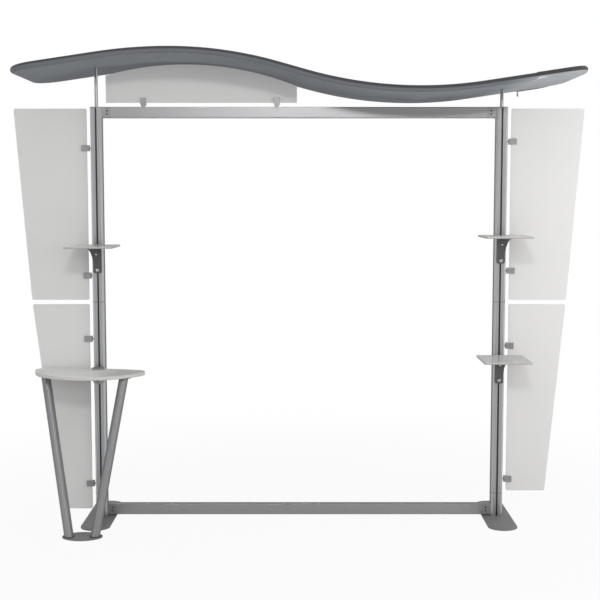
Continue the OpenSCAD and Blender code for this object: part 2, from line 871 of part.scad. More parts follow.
// tube whose slotted upper end straddles the tongue of the saddle
module canopy_post(side) {
  top = wave_z(side * post_x) - saddle_h / 2 - 1;
  tinted(col_bright)
    at_side(side)
      difference() {
        translate([0, 0, post_top - mast_in]) cylinder(h = top - post_top + mast_in, d = mast_d);
        translate([0, 0, post_top - mast_in - 1])
          cylinder(h = top - post_top + mast_in + 2, d = mast_d - 2 * mast_wall);
        translate([-fork_slot / 2, -mast_d, top - fork_len])
          cube([fork_slot, 2 * mast_d, fork_len + 1]);
      }
}

module canopy_post_left() { canopy_post(-1); }
module canopy_post_right() { canopy_post(1); }

// small slider on the back edge of the cover
module zip_slider() {
  tinted(col_gun)
    translate([zip_x, line_y, zip_z])
      difference() {
        translate([-5, -7, -4]) cube([10, 14, 4]);
        rotate([0, 90, 0])
          translate([2, 0, -6]) cylinder(h = 12, r = 1 + turn_gap);
        translate([-2.2, -8, -5]) cube([4.4, 16, 4]);
      }
}

// pull tab that swings on a cross pin of the slider
module zip_pull() {
  tinted(col_gun)
    translate([zip_x, line_y, zip_z - 2]) {
      rotate([0, 90, 0]) cylinder(h = 9, r = 1, center = true);
      translate([-1.8, -1.2, -zip_tab_len]) cube([3.6, 2.4, zip_tab_len]);
      translate([-4, -1.2, -zip_tab_len]) cube([8, 2.4, zip_tab_len - 9]);
    }
}

// Header

module header_outline() {
  p = [-header_left, header_z + header_h_left];
  q = [-header_right, header_z + header_h_right];
  chord = norm(q - p);
  n = [p[1] - q[1], q[0] - p[0]] / chord;
  c = (p + q) / 2 - n * sqrt(pow(header_arch_r, 2) - pow(chord / 2, 2));
  intersection() {
    translate([-header_left, header_z])
      square([header_left - header_right, 2 * header_h_left]);
    translate(c) circle(header_arch_r, $fn = 720);
  }
}

module header_panel() {
  tinted(col_frost)
    upright_plate(panel_t) header_outline();
}

// tapered clamp with a slit for the panel and a tongue in the crossbar slot
module header_clamps() {
  half = header_clamp_w / 2;
  foot = half * 0.6;
  deep = bar_d * 0.55;
  tinted(col_alu)
    for (x = header_clamps_at)
      translate([-x, 0, frame_h])
        difference() {
          union() {
            upright_plate(deep)
              polygon([[-foot, 0], [foot, 0], [foot, 6], [half, 12], [half, header_clamp_h],
                [-half, header_clamp_h], [-half, 12], [-foot, 6]]);
            translate([-foot, -slot_mouth / 2 + 0.4, -bar_slot_lip - 1])
              cube([2 * foot, slot_mouth - 0.8, bar_slot_lip + 2]);
            translate([-foot, 1 - bar_slot_w / 2, -bar_slot_d + 1])
              cube([2 * foot, bar_slot_w - 2, bar_slot_d - bar_slot_lip - 1.3]);
          }
          translate([-half - 1, -panel_t / 2 - slit_gap / 2, header_lift])
            cube([2 * half + 2, panel_t + slit_gap, header_clamp_h]);
        }
}

// Wings

module wing(side, z0, z1, x0, x1) {
  inner = post_x + post_face + wing_gap;
  tinted(col_frost)
    upright_plate(panel_t)
      mirror([side > 0 ? 0 : 1, 0])
        rounded_poly([[inner, z0], [x0, z0], [x1, z1], [inner, z1]], wing_corner_r);
}

module wing_upper_left() { wing(-1, wing_mid_z, wing_top_z, wing_seam_x + 2, wing_top_x); }
module wing_upper_right() { wing(1, wing_mid_z, wing_top_z, wing_seam_x + 2, wing_top_x); }
module wing_lower_left() { wing(-1, wing_low_z_left, wing_low_top_z, wing_low_x_left, wing_seam_x); }
module wing_lower_right() {
  wing(1, wing_low_z_right, wing_low_top_z, wing_low_x_right, wing_seam_x);
}

// block with a slit for the wing and a T tongue in the side slot of the upright
module wing_clamp() {
  difference() {
    union() {
      translate([clamp_neck, -clamp_d / 2, -clamp_h / 2])
        cube([clamp_len - clamp_neck, clamp_d, clamp_h]);
      rotate([0, 90, 0]) cylinder(h = clamp_neck + 1, d = slot_mouth - 0.8);
      translate([-slot_lip - 1, -slot_mouth / 2 + 0.4, -clamp_h / 2])
        cube([slot_lip + 1.5, slot_mouth - 0.8, clamp_h]);
      translate([-slot_deep + 1, -slot_cavity_w / 2 + 1, -clamp_h / 2])
        cube([slot_cavity_d - 1.3, slot_cavity_w - 2, clamp_h]);
    }
    translate([wing_gap, -panel_t / 2 - slit_gap / 2, -clamp_h])
      cube([clamp_len, panel_t + slit_gap, 2 * clamp_h]);
  }
}

module wing_clamps() {
  tinted(col_alu)
    for (side = sides, z = side < 0 ? clamps_left : clamps_right)
      translate([side * (post_x + post_face), 0, z])
        mirror([side > 0 ? 0 : 1, 0, 0]) wing_clamp();
}

// Shelves

module shelf(side, z) {
  tinted(col_frost)
    at_side(side)
      translate([0, 0, z])
        difference() {
          translate([0, -shelf_back - shelf_d / 2, 0])
            linear_extrude(shelf_t) rounded_rect(shelf_w, shelf_d, shelf_corner_r);
          translate([0, -post_face, 0])
            shelf_screw_spots() {
              translate([0, 0, -1]) cylinder(h = shelf_t + 2, d = 5 + 2 * fit);
              translate([0, 0, shelf_t - sunk_h]) cylinder(h = sunk_h + 1, d = sunk_d + 2 * fit);
            }
        }
}

// the two screws that hold a shelf on its bracket, measured from the front of the upright
module shelf_screw_spots() {
  for (k = [0, 1])
    translate([k == 0 ? -screw_spread : screw_spread, -screw_out[k], 0]) children();
}

module shelf_left() { shelf(-1, shelf_z_left); }
module shelf_right() { shelf(1, shelf_z_right); }
module shelf_low() { shelf(1, shelf_z_low); }

// front view of a bracket: narrow foot, hollow flanks, wide top
module bracket_front(inset) {
  f = bracket_foot_w / 2 - inset;
  t = bracket_top_w / 2 - inset;
  rise = bracket_h - pad_h;
  chord = norm([t - f, rise]);
  n = [rise, f - t] / chord;
  c = [(f + t) / 2, pad_h + rise / 2] + n * sqrt(pow(flank_r, 2) - pow(chord / 2, 2));
  difference() {
    translate([-t, 0]) square([2 * t, bracket_h]);
    for (s = sides)
      mirror([s > 0 ? 0 : 1, 0]) {
        translate([f, -1]) square([t, pad_h + 1]);
        intersection() {
          translate(c) circle(flank_r, $fn = 360);
          translate([f, pad_h - 1]) square([t, rise + 2]);
        }
        difference() {
          translate([f - bracket_foot_r, -1]) square([bracket_foot_r + 1, bracket_foot_r + 1]);
          translate([f - bracket_foot_r, bracket_foot_r]) circle(bracket_foot_r);
        }
      }
  }
}

// side view of a bracket above its pad, x forwards and y up, with a hollow front face
module bracket_side(inset) {
  difference() {
    translate([-inset, pad_h]) square([bracket_reach, bracket_h - pad_h - inset]);
    translate(face_c) circle(face_r + inset, $fn = 360);
  }
}

// top view of a bracket: narrow at the upright, wide at the front
module bracket_plan(inset) {
  f = bracket_foot_w / 2 - inset;
  t = bracket_top_w / 2 - inset;
  polygon([[-f, 1], [-t, -bracket_reach - 1], [t, -bracket_reach - 1], [f, 1]]);
}

module bracket_shape(inset) {
  intersection() {
    translate([0, 1, 0])
      rotate([90, 0, 0])
        linear_extrude(bracket_reach + 2) bracket_front(inset);
    linear_extrude(bracket_h + 1) bracket_plan(inset);
    rotate([90, 0, -90])
      linear_extrude(bracket_top_w + 2, center = true) {
        bracket_side(inset);
        if (inset == 0) square([pad_t, pad_h + 1]);
      }
  }
}

// middle of the small screw on the hollow face, z out of the face
module at_slope() {
  up = asin((slope_screw_z - face_c[1]) / face_r);
  translate([0, face_r * cos(up) - face_c[0], slope_screw_z])
    rotate([90 + up, 0, 0]) children();
}

module bracket(side, z) {
  tinted(col_gun)
    at_side(side)
      translate([0, -post_face, z - bracket_h])
        difference() {
          bracket_shape(0);
          // hollow of the casting, open at the back
          bracket_shape(bracket_wall);
          rotate([90, 0, 0])
            translate([0, knob_z, -1])
              cylinder(h = pad_t + 2, r = knob_shank_d / 2 + turn_gap);
          shelf_screw_spots()
            translate([0, 0, bracket_h - 12]) cylinder(h = 14, d = 5 + 2 * fit);
          at_slope()
            translate([0, 0, -slope_screw_l]) cylinder(h = slope_screw_l + 5, d = 5 + 2 * fit);
        }
}

module bracket_left() { bracket(-1, shelf_z_left); }
module bracket_right() { bracket(1, shelf_z_right); }
module bracket_low() { bracket(1, shelf_z_low); }

// button-head clamp screw that pulls the slot nut against the lips
module clamp_screw(side, z) {
  tinted(col_bright)
    at_side(side)
      translate([0, -knob_y, z - bracket_h + knob_z])
        rotate([90, 0, 0])
          difference() {
            union() {
              cylinder(h = knob_h * 0.4, d = knob_d);
              translate([0, 0, knob_h * 0.4])
                cylinder(h = knob_h * 0.6, d1 = knob_d, d2 = knob_d * 0.6);
              translate([0, 0, 1 - pad_t - slot_deep])
                cylinder(h = pad_t + slot_deep, d = knob_shank_d);
            }
            translate([0, 0, knob_h * 0.3]) hex_socket(knob_key, knob_h);
          }
}

module clamp_screw_left() { clamp_screw(-1, shelf_z_left); }
module clamp_screw_right() { clamp_screw(1, shelf_z_right); }
module clamp_screw_low() { clamp_screw(1, shelf_z_low); }

// slot nut, two shelf screws and the small screw of one bracket
module shelf_fixings(side, z) {
  tinted(col_bright)
    at_side(side)
      translate([0, -post_face, z]) {
        difference() {
          translate([-nut_w / 2, slot_lip, knob_z - bracket_h - nut_h / 2])
            cube([nut_w, nut_t, nut_h]);
          translate([0, 0, knob_z - bracket_h])
            rotate([-90, 0, 0])
              cylinder(h = slot_deep + 2, r = knob_shank_d / 2 + turn_gap);
        }
        shelf_screw_spots() {
          translate([0, 0, -8]) cylinder(h = 8 + shelf_t - sunk_h, d = 5);
          difference() {
            translate([0, 0, shelf_t - sunk_h]) cylinder(h = sunk_h - 0.1, d = sunk_d);
            translate([0, 0, shelf_t - 1.4]) hex_socket(4, 4);
          }
        }
        translate([0, 0, -bracket_h])
          at_slope()
            difference() {
              translate([0, 0, head_gap]) {
                cylinder(h = 2, d = slope_screw_d);
                translate([0, 0, 2]) cylinder(h = 2, d1 = slope_screw_d, d2 = slope_screw_d - 4);
                translate([0, 0, -slope_screw_l]) cylinder(h = slope_screw_l + 1, d = 5);
              }
              translate([0, 0, 1.5]) hex_socket(4, 4);
            }
      }
}

module shelf_fixings_left() { shelf_fixings(-1, shelf_z_left); }
module shelf_fixings_right() { shelf_fixings(1, shelf_z_right); }
module shelf_fixings_low() { shelf_fixings(1, shelf_z_low); }

// Counter

// half of a four-arc oval: b is the reach, drawn towards +y
module half_oval(a, b, r) {
  e = a - r;
  d = (e * e - pow(b - r, 2)) / (2 * (b - r));
  big = d + b;
  xt = e * big / (big - r);
  intersection() {
    union() {
      intersection() {
        translate([0, -d]) circle(big, $fn = 360);
        square([2 * xt, 2 * b], center = true);
      }
      for (s = sides)
        translate([s * e, 0]) circle(r, $fn = 180);
    }
    translate([-a, 0]) square([2 * a, b]);
  }
}

// four-arc oval with the same reach to front and back
module oval(a, b, r) {
  for (k = [0, 1])
    mirror([0, k]) half_oval(a, b, r);
}

// places something at the middle of the counter top, turned about the hub
module at_counter() {
  translate([-post_x, -hub_y, 0])
    rotate(-counter_turn)
      translate([-counter_shift, hub_y - counter_y, 0]) children();
}

module counter_screw_spots() {
  for (side = sides, a = [30, 150, 270])
    translate([side * leg_top_x + flange_screw_r * cos(a), flange_screw_r * sin(a) - leg_top_y, 0])
      children();
}

module counter_top() {
  tinted(col_frost)
    translate([0, 0, counter_under])
      difference() {
        at_counter()
          difference() {
            linear_extrude(counter_t) {
              half_oval(counter_half_w, counter_back, counter_end_r);
              mirror([0, 1]) half_oval(counter_half_w, counter_front, counter_end_r);
            }
            counter_screw_spots() {
              translate([0, 0, -1]) cylinder(h = counter_t + 2, d = 5 + 2 * fit);
              translate([0, 0, counter_t - sunk_h]) cylinder(h = sunk_h + 1, d = sunk_d + 2 * fit);
            }
          }
        translate([-post_x, -hub_y, -1]) cylinder(h = counter_t + 2, d = 10 + 2 * fit);
      }
}

// hub under the back of the counter, bolted to the front slot of the upright
module counter_hub() {
  tinted(col_alu)
    translate([-post_x, -hub_y, hub_z])
      difference() {
        union() {
          translate([0, 0, hub_cone_h]) cylinder(h = hub_h - hub_cone_h, d = hub_d);
          cylinder(h = hub_cone_h, d1 = hub_d - 18, d2 = hub_d);
          translate([-22, 0, 0]) cube([44, hub_y - post_face, hub_h]);
        }
        translate([0, 0, hub_h - hub_bolt_deep - 2]) cylinder(h = hub_bolt_deep + 3, d = 10);
        translate([0, -hub_d, hub_bolt_z])
          rotate([-90, 0, 0]) {
            cylinder(h = 2 * hub_d, d = 8 + 2 * fit);
            cylinder(h = hub_d + hub_y - post_face - 8, d = 16);
          }
      }
}

// washer and bolt over the hub, the T bolt behind it and the flange screws
module counter_fixings() {
  tinted(col_bright) {
    translate([-post_x, -hub_y, counter_top_z]) {
      difference() {
        cylinder(h = washer_t, d = washer_d);
        translate([0, 0, -1]) cylinder(h = washer_t + 2, d = 10 + 2 * fit);
      }
      difference() {
        union() {
          translate([0, 0, washer_t]) cylinder(h = 3, d = 18);
          translate([0, 0, -counter_t - hub_bolt_deep])
            cylinder(h = counter_t + hub_bolt_deep + washer_t + 1, d = 9.8);
        }
        translate([0, 0, washer_t + 1]) hex_socket(6, 6);
      }
    }
    translate([-post_x, -post_face, hub_z + hub_bolt_z])
      rotate([-90, 0, 0]) {
        difference() {
          translate([0, 0, -14]) cylinder(h = 6, d = 14);
          translate([0, 0, -15]) hex_socket(6, 4);
        }
        translate([0, 0, -9]) cylinder(h = 9 + slot_lip + 1, d = 8);
        translate([0, 0, slot_lip + nut_t / 2]) cube([nut_w, 24, nut_t - 0.4], center = true);
      }
    at_counter()
      counter_screw_spots()
        translate([0, 0, counter_under]) {
          translate([0, 0, -flange_t]) cylinder(h = flange_t + counter_t - sunk_h, d = 5);
          difference() {
            translate([0, 0, counter_t - sunk_h]) cylinder(h = sunk_h - 0.1, d = sunk_d);
            translate([0, 0, counter_t - 1.4]) hex_socket(4, 4);
          }
        }
  }
}

// a point given from the hub axis in the turned counter
function turned(x, y) = [x * cos(counter_turn) + y * sin(counter_turn) - post_x,
  y * cos(counter_turn) - x * sin(counter_turn) - hub_y];
function leg_top_pt(side) = concat(
  turned(side * leg_top_x - counter_shift, hub_y - counter_y - leg_top_y), counter_under - flange_t);
function leg_foot_pt(side) =
  [side * leg_foot_x - base_x, -base_y - leg_foot_y, base_t + flange_t];

// box that holds the stretch of a leg between two heights, wide enough for its slant
module leg_box(p, q, z0, z1) {
  translate([min(p[0], q[0]) - leg_d, min(p[1], q[1]) - leg_d, z0])
    cube([abs(q[0] - p[0]) + 2 * leg_d, abs(q[1] - p[1]) + 2 * leg_d, z1 - z0]);
}

// slanted tube cut level at both ends
module counter_leg(side) {
  p = leg_foot_pt(side);
  q = leg_top_pt(side);
  v = unit(q - p);
  tinted(col_alu)
    difference() {
      intersection() {
        rod(p - leg_d * v, q + leg_d * v, leg_d / 2);
        leg_box(p, q, p[2], q[2]);
      }
      rod(p - 2 * leg_d * v, q + 2 * leg_d * v, leg_d / 2 - leg_wall);
    }
}

module counter_leg_left() { counter_leg(-1); }
module counter_leg_right() { counter_leg(1); }

// round plates with plugs that locate both ends of the legs
module leg_flanges() {
  tinted(col_steel)
    for (side = sides) {
      p = leg_foot_pt(side);
      q = leg_top_pt(side);
      v = unit(q - p);
      difference() {
        union() {
          translate(q) cylinder(h = flange_t, d = flange_d);
          intersection() {
            rod(q - plug_in * v, q + plug_in * v, leg_d / 2 - leg_wall - fit);
            leg_box(q, q, q[2] - leg_d, q[2] + 1);
          }
        }
        at_counter()
          counter_screw_spots()
            translate([0, 0, q[2] - 1]) cylinder(h = flange_t + 2, d = 5 + 2 * fit);
      }
      translate(p - [0, 0, flange_t]) cylinder(h = flange_t, d = foot_disc_d);
      intersection() {
        rod(p - plug_in * v, p + plug_in * v, leg_d / 2 - leg_wall - fit);
        leg_box(p, p, p[2] - 1, p[2] + leg_d);
      }
    }
}

// oval floor plate with a softened upper edge
module counter_base() {
  tinted(col_steel)
    translate([-base_x, -base_y, 0]) {
      linear_extrude(base_t - 1.5) oval(base_w / 2, base_d / 2, base_end_r);
      linear_extrude(base_t) oval(base_w / 2 - 1.5, base_d / 2 - 1.5, base_end_r - 1.5);
    }
}

foot_plate_left();
foot_plate_right();
foot_bolts();
base_post_left();
base_post_right();
lower_post_left();
lower_post_right();
upper_post_left();
upper_post_right();
post_joiners();
post_caps();
top_bar_left();
top_bar_right();
bottom_bar_left();
bottom_bar_right();
bar_joiners();
bar_end_blocks();
lock_hooks();
lock_top_left_upper();
lock_top_left_lower();
lock_top_right_upper();
lock_top_right_lower();
lock_bottom_left_upper();
lock_bottom_left_lower();
lock_bottom_right_upper();
lock_bottom_right_lower();
canopy_frame();
canopy_cover();
canopy_post_left();
canopy_post_right();
canopy_saddles();
zip_slider();
zip_pull();
header_panel();
header_clamps();
wing_upper_left();
wing_upper_right();
wing_lower_left();
wing_lower_right();
wing_clamps();
shelf_left();
shelf_right();
shelf_low();
bracket_left();
bracket_right();
bracket_low();
clamp_screw_left();
clamp_screw_right();
clamp_screw_low();
shelf_fixings_left();
shelf_fixings_right();
shelf_fixings_low();
counter_top();
counter_hub();
counter_fixings();
counter_leg_left();
counter_leg_right();
leg_flanges();
counter_base();
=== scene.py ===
"""Looks of a modular trade show display: a slotted aluminium frame with a wave canopy,
frosted panels, three shelves and an oval counter on two slanted legs."""

import json
import math

import bmesh
import bpy
import numpy as np
from bpy.props import FloatProperty, FloatVectorProperty, PointerProperty
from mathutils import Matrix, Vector

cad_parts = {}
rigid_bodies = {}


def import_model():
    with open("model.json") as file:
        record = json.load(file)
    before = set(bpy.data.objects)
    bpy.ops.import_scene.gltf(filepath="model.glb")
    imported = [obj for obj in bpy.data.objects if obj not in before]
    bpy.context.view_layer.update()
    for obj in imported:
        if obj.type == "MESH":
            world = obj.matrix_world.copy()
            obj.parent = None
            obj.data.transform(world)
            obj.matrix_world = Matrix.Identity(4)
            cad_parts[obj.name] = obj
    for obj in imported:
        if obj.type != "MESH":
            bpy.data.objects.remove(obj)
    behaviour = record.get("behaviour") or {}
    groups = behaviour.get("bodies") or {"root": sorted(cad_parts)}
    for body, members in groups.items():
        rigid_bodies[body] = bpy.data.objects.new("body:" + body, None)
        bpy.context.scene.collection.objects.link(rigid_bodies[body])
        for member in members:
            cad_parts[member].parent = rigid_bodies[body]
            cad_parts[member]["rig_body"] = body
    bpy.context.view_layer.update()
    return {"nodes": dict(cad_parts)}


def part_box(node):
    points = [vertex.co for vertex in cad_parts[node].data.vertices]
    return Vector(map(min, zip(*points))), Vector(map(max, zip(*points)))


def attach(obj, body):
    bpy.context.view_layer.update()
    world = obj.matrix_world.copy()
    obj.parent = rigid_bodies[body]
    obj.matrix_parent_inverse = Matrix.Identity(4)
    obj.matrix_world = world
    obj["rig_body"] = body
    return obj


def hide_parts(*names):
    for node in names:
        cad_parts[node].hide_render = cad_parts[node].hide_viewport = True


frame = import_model()

bl_info = {
    "name": "Trade Show Display",
    "version": (1, 0, 0),
    "blender": (4, 5, 0),
    "location": "View3D > Sidebar > Display",
    "description": "Finishes the frame, canopy, panels, shelves and counter of a show display",
    "category": "Object",
}


def node_middle(node):
    low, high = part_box(node)
    return (Vector(low) + Vector(high)) / 2


PLANE_Y = node_middle("upper_post_left").y
POST_X = node_middle("upper_post_right").x
POST_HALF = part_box("upper_post_right")[1][0] - POST_X
POST_CHAMFER = 0.009  # leg of the cut corners of the uprights
POST_JOINTS = [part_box(f"{part}_post_right")[0][2] for part in ("upper", "lower")]


# Sizes and colours


def length_prop(name, text, value, low=0.0):
    return FloatProperty(name=name, description=text, default=value, min=low, max=10.0,
                         subtype="DISTANCE", unit="LENGTH", precision=4)


def angle_prop(name, text, value):
    return FloatProperty(name=name, description=text, default=value, subtype="ANGLE",
                         unit="ROTATION")


def colour_prop(name, text, value):
    return FloatVectorProperty(name=name, description=text, default=value, min=0.0, max=1.0,
                               size=3, subtype="COLOR")


def power_prop(name, text, value):
    return FloatProperty(name=name, description=text, default=value, min=0.0, max=5000.0,
                         subtype="POWER", unit="POWER")


class DISPLAY_PG_canopy(bpy.types.PropertyGroup):
    length: length_prop("Length", "Length of the canopy over its side edges", 2.88)
    depth: length_prop("Depth", "Depth of the canopy from front to back", 0.71)
    top: length_prop("Top", "Height of the crest above the floor", 2.439)
    drop: length_prop("Drop", "Drop from the crest to the trough", 0.19)
    crest_x: length_prop("Crest position", "Crest along the display", -0.64, -10.0)
    crest_end_r: length_prop("Outer crest bend", "Bend radius on the outer side of the crest", 2.4)
    crest_mid_r: length_prop("Inner crest bend", "Bend radius on the inner side of the crest",
                             1.98)
    trough_r: length_prop("Trough bend", "Bend radius of the trough", 2.12)
    end_slope: angle_prop("End slope", "Slope of the straight ends", math.radians(8.5))
    mid_slope: angle_prop("Middle slope", "Slope of the straight middle", math.radians(15.6))
    half_t: length_prop("Half thickness", "Half thickness of the cover at the edge tubes", 0.017)
    corner_r: length_prop("Corner bend", "Bend radius of the tube at the corners", 0.12)
    cloth_t: length_prop("Cloth", "Thickness of the stretch fabric", 0.0012)
    draw_in: length_prop("Draw-in", "How far the cloth is drawn in between the tubes", 0.006)
    bow: length_prop("Bow", "How far the cloth bows where the canopy bends", 0.007)
    pucker: length_prop("Pucker", "Depth of the gathers along the zip", 0.0004)
    # the dark top cloth, which the edge tone also spreads round the front edge as painted shade
    top_colour: colour_prop("Top colour", "Cloth on the top and front edge",
                            (0.05, 0.051, 0.055))
    under_colour: colour_prop("Underside colour", "Cloth on the underside",
                              (0.166, 0.178, 0.194))
    # painted light on the underside towards the right end and on the fold at the zip
    painted_light_colour: colour_prop("Taut colour", "Cloth where the zip end pulls it thin",
                             (0.8, 0.82, 0.84))


class DISPLAY_PG_zip(bpy.types.PropertyGroup):
    front_x: length_prop("Front end", "Where the zip ends on the front edge", 1.166)
    back_x: length_prop("Back end", "Where the zip starts at its slider", 1.196)
    tape_w: length_prop("Tape width", "Width of the zip tape round the edge", 0.0225)
    coil: length_prop("Coil", "Width of one coil of the zip", 0.0056)
    pitch: length_prop("Coil pitch", "Distance between the coils", 0.0026)
    tape_colour: colour_prop("Tape colour", "Woven zip tape", (0.046, 0.041, 0.037))
    stitch: length_prop("Stitch", "Length of one stitch", 0.0034)
    stitch_step: length_prop("Stitch step", "Distance from stitch to stitch", 0.005)
    stitch_t: length_prop("Thread", "Thickness of the thread", 0.0006)
    thread_colour: colour_prop("Thread colour", "Sewing thread", (0.1, 0.105, 0.115))


class DISPLAY_PG_metal(bpy.types.PropertyGroup):
    alu: colour_prop("Aluminium", "Natural anodised aluminium", (0.5, 0.5, 0.51))
    # painted light: the uprights are a lighter copy of the crossbars' anodised aluminium
    upright: colour_prop("Uprights", "Anodised aluminium of the uprights", (0.55, 0.555, 0.565))
    leg: colour_prop("Legs", "Satin tubes of the counter", (0.42, 0.42, 0.43))
    post: colour_prop("Canopy posts", "Thin drawn tubes under the canopy", (0.58, 0.585, 0.59))
    bright: colour_prop("Bright steel", "Polished screws", (0.85, 0.85, 0.85))
    cast: colour_prop("Cast zinc", "Cast blocks and caps", (0.4, 0.4, 0.402))
    lock: colour_prop("Lock steel", "Dark turning locks", (0.07, 0.07, 0.072))
    gun: colour_prop("Gunmetal", "Painted bracket castings", (0.135, 0.134, 0.137))
    coat: colour_prop("Coated steel", "Powder-coated foot plates", (0.195, 0.197, 0.2))
    zinc: colour_prop("Zip metal", "Slider and tab of the zip", (0.3, 0.3, 0.305))
    # below this depth in their slots the uprights get painted shade
    slot_shade_depth: length_prop("Slot depth", "Where the slots of the uprights turn dark", 0.0015)
    arris: length_prop("Arris", "Rounding of machined edges", 0.0006)
    cast_round: length_prop("Cast rounding", "Rounding of cast edges", 0.0016)
    plate_round: length_prop("Plate rounding", "Rounding of the counter's floor plate", 0.001)


class DISPLAY_PG_acrylic(bpy.types.PropertyGroup):
    panel: colour_prop("Panels", "Frosted header and side panels", (0.745, 0.742, 0.735))
    shelf: colour_prop("Shelves", "Satin acrylic of the shelves", (0.82, 0.82, 0.81))
    counter: colour_prop("Counter", "Satin acrylic of the counter", (0.8, 0.795, 0.79))
    edge: colour_prop("Edges", "Sawn edges of the shelves and the counter", (0.62, 0.605, 0.58))
    arris: length_prop("Panel arris", "Rounding of the panels' edges", 0.0008)
    shelf_arris: length_prop("Shelf arris", "Rounding of the shelves' edges", 0.0012)
    counter_arris: length_prop("Counter arris", "Rounding of the counter's edges", 0.0022)


class DISPLAY_PG_stage(bpy.types.PropertyGroup):
    eye_x: length_prop("Eye position", "Camera position along the display", 0.005, -10.0)
    eye_y: length_prop("Eye distance", "Camera position in front", PLANE_Y - 6.106, -10.0)
    eye_z: length_prop("Eye height", "Camera height above the floor", 1.703)
    tilt: angle_prop("Tilt", "How far the camera looks down", 0.0884)
    lens: FloatProperty(name="Lens", description="Focal length", default=69.756, min=10.0,
                        max=300.0, subtype="DISTANCE_CAMERA")
    floor: colour_prop("Floor", "Pale studio floor", (0.52, 0.52, 0.52))
    studio: FloatProperty(name="Studio", description="Strength of the light all round",
                          default=0.74, min=0.0, max=2.0)
    key: power_prop("Key", "Power of the soft light in front", 72.0)
    warm: power_prop("Warm light", "Power of the soft light at the right", 44.0)
    cool: power_prop("Cool light", "Power of the soft light at the left", 22.0)
    low: power_prop("Low light", "Power of the light that the floor throws up", 9.0)
    side: power_prop("Side light", "Power of the low light on the right", 22.0)


class DISPLAY_PG_settings(bpy.types.PropertyGroup):
    canopy: PointerProperty(type=DISPLAY_PG_canopy, name="Canopy")
    zip: PointerProperty(type=DISPLAY_PG_zip, name="Zip")
    metal: PointerProperty(type=DISPLAY_PG_metal, name="Metal")
    acrylic: PointerProperty(type=DISPLAY_PG_acrylic, name="Acrylic")
    stage: PointerProperty(type=DISPLAY_PG_stage, name="Stage")


def settings():
    return bpy.context.scene.show_display


# Materials


class Graph:
    """A node tree whose nodes are added one after another."""

    def __init__(self, tree):
        self.tree = tree

    def feed(self, socket, value):
        """Links an output to a socket, or gives the socket a plain value. A node stands
        for its first output."""
        if isinstance(value, bpy.types.Node):
            value = value.outputs[0]
        if isinstance(value, bpy.types.NodeSocket):
            self.tree.links.new(value, socket)
        else:
            socket.default_value = value

    def node(self, kind, inputs=None, **props):
        made = self.tree.nodes.new(kind)
        for key, value in props.items():
            setattr(made, key, value)
        for key, value in (inputs or {}).items():
            self.feed(made.inputs[key], value)
        return made

    def split(self, vector):
        return self.node("ShaderNodeSeparateXYZ", {"Vector": vector}).outputs

    def math(self, operation, *values):
        return self.node("ShaderNodeMath", dict(enumerate(values)), operation=operation)

    def apart(self, a, b):
        """The distance between two values."""
        return self.math("ABSOLUTE", self.math("SUBTRACT", a, b))

    def spread(self, value, low, high, to_low, to_high, smooth=False):
        """Maps low to to_low and high to to_high, and holds them beyond."""
        return self.node("ShaderNodeMapRange",
                         {"Value": value, "From Min": low, "From Max": high,
                          "To Min": to_low, "To Max": to_high},
                         interpolation_type="SMOOTHSTEP" if smooth else "LINEAR")


class Finish(Graph):
    """A material with a tone and bumps that build up step by step."""

    def __init__(self, name, colour, metallic=0.0, roughness=0.5, **more):
        self.mat = bpy.data.materials.new(name)
        self.mat.use_nodes = True
        super().__init__(self.mat.node_tree)
        self.bsdf = self.tree.nodes["Principled BSDF"]
        self.set(Base_Color=(*colour, 1.0), Metallic=metallic, Roughness=roughness, **more)
        self.colour = tuple(colour)
        self.place = self.node("ShaderNodeTexCoord").outputs["Object"]
        self.tone = None
        self.bumps = None

    def set(self, **inputs):
        """Sets or links inputs of the surface, named with underscores."""
        for key, value in inputs.items():
            self.feed(self.bsdf.inputs[key.replace("_", " ")], value)

    def stretched(self, scale, source=None):
        """The place on the piece with each axis scaled, for patterns that run one way."""
        return self.node("ShaderNodeMapping", {"Vector": source or self.place, "Scale": scale})

    def noise(self, scale, detail=3.0, roughness=0.55, vector=None, distortion=0.0):
        """A cloudy pattern from 0 to 1, with the scale in clouds per metre."""
        return self.node("ShaderNodeTexNoise",
                         {"Vector": vector or self.place, "Scale": scale, "Detail": detail,
                          "Roughness": roughness, "Distortion": distortion})

    def shade(self, factor, amount):
        """Lightens and darkens the colour by a pattern from 0 to 1, by a share each way."""
        if self.tone is None:
            self.tone = self.node("ShaderNodeRGB").outputs[0]
            self.tone.default_value = (*self.colour, 1.0)
        gain = self.spread(factor, 0.0, 1.0, 1.0 - amount, 1.0 + amount)
        self.tone = self.node("ShaderNodeVectorMath", {0: self.tone, "Scale": gain},
                              operation="SCALE")
        self.set(Base_Color=self.tone)
        return self

    def blend(self, factor, colour):
        """Mixes another colour in where the pattern is 1."""
        base = self.tone or (*self.colour, 1.0)
        # sockets 6, 7 and 2 are those for colours
        self.tone = self.node("ShaderNodeMix", {"Factor": factor, 6: base, 7: (*colour, 1.0)},
                              data_type="RGBA").outputs[2]
        self.set(Base_Color=self.tone)
        return self

    def gloss(self, factor, low, high):
        """Roughness from low to high over a pattern from 0 to 1."""
        self.set(Roughness=self.spread(factor, 0.0, 1.0, low, high))
        return self

    def bump(self, height, distance, strength):
        inputs = {"Height": height, "Distance": distance, "Strength": strength}
        if self.bumps is not None:
            inputs["Normal"] = self.bumps
        self.bumps = self.node("ShaderNodeBump", inputs)
        self.set(Normal=self.bumps)
        return self


def scaled(colour, by):
    """A darker or brighter shade of a colour."""
    return tuple(min(1.0, v * by) for v in colour)


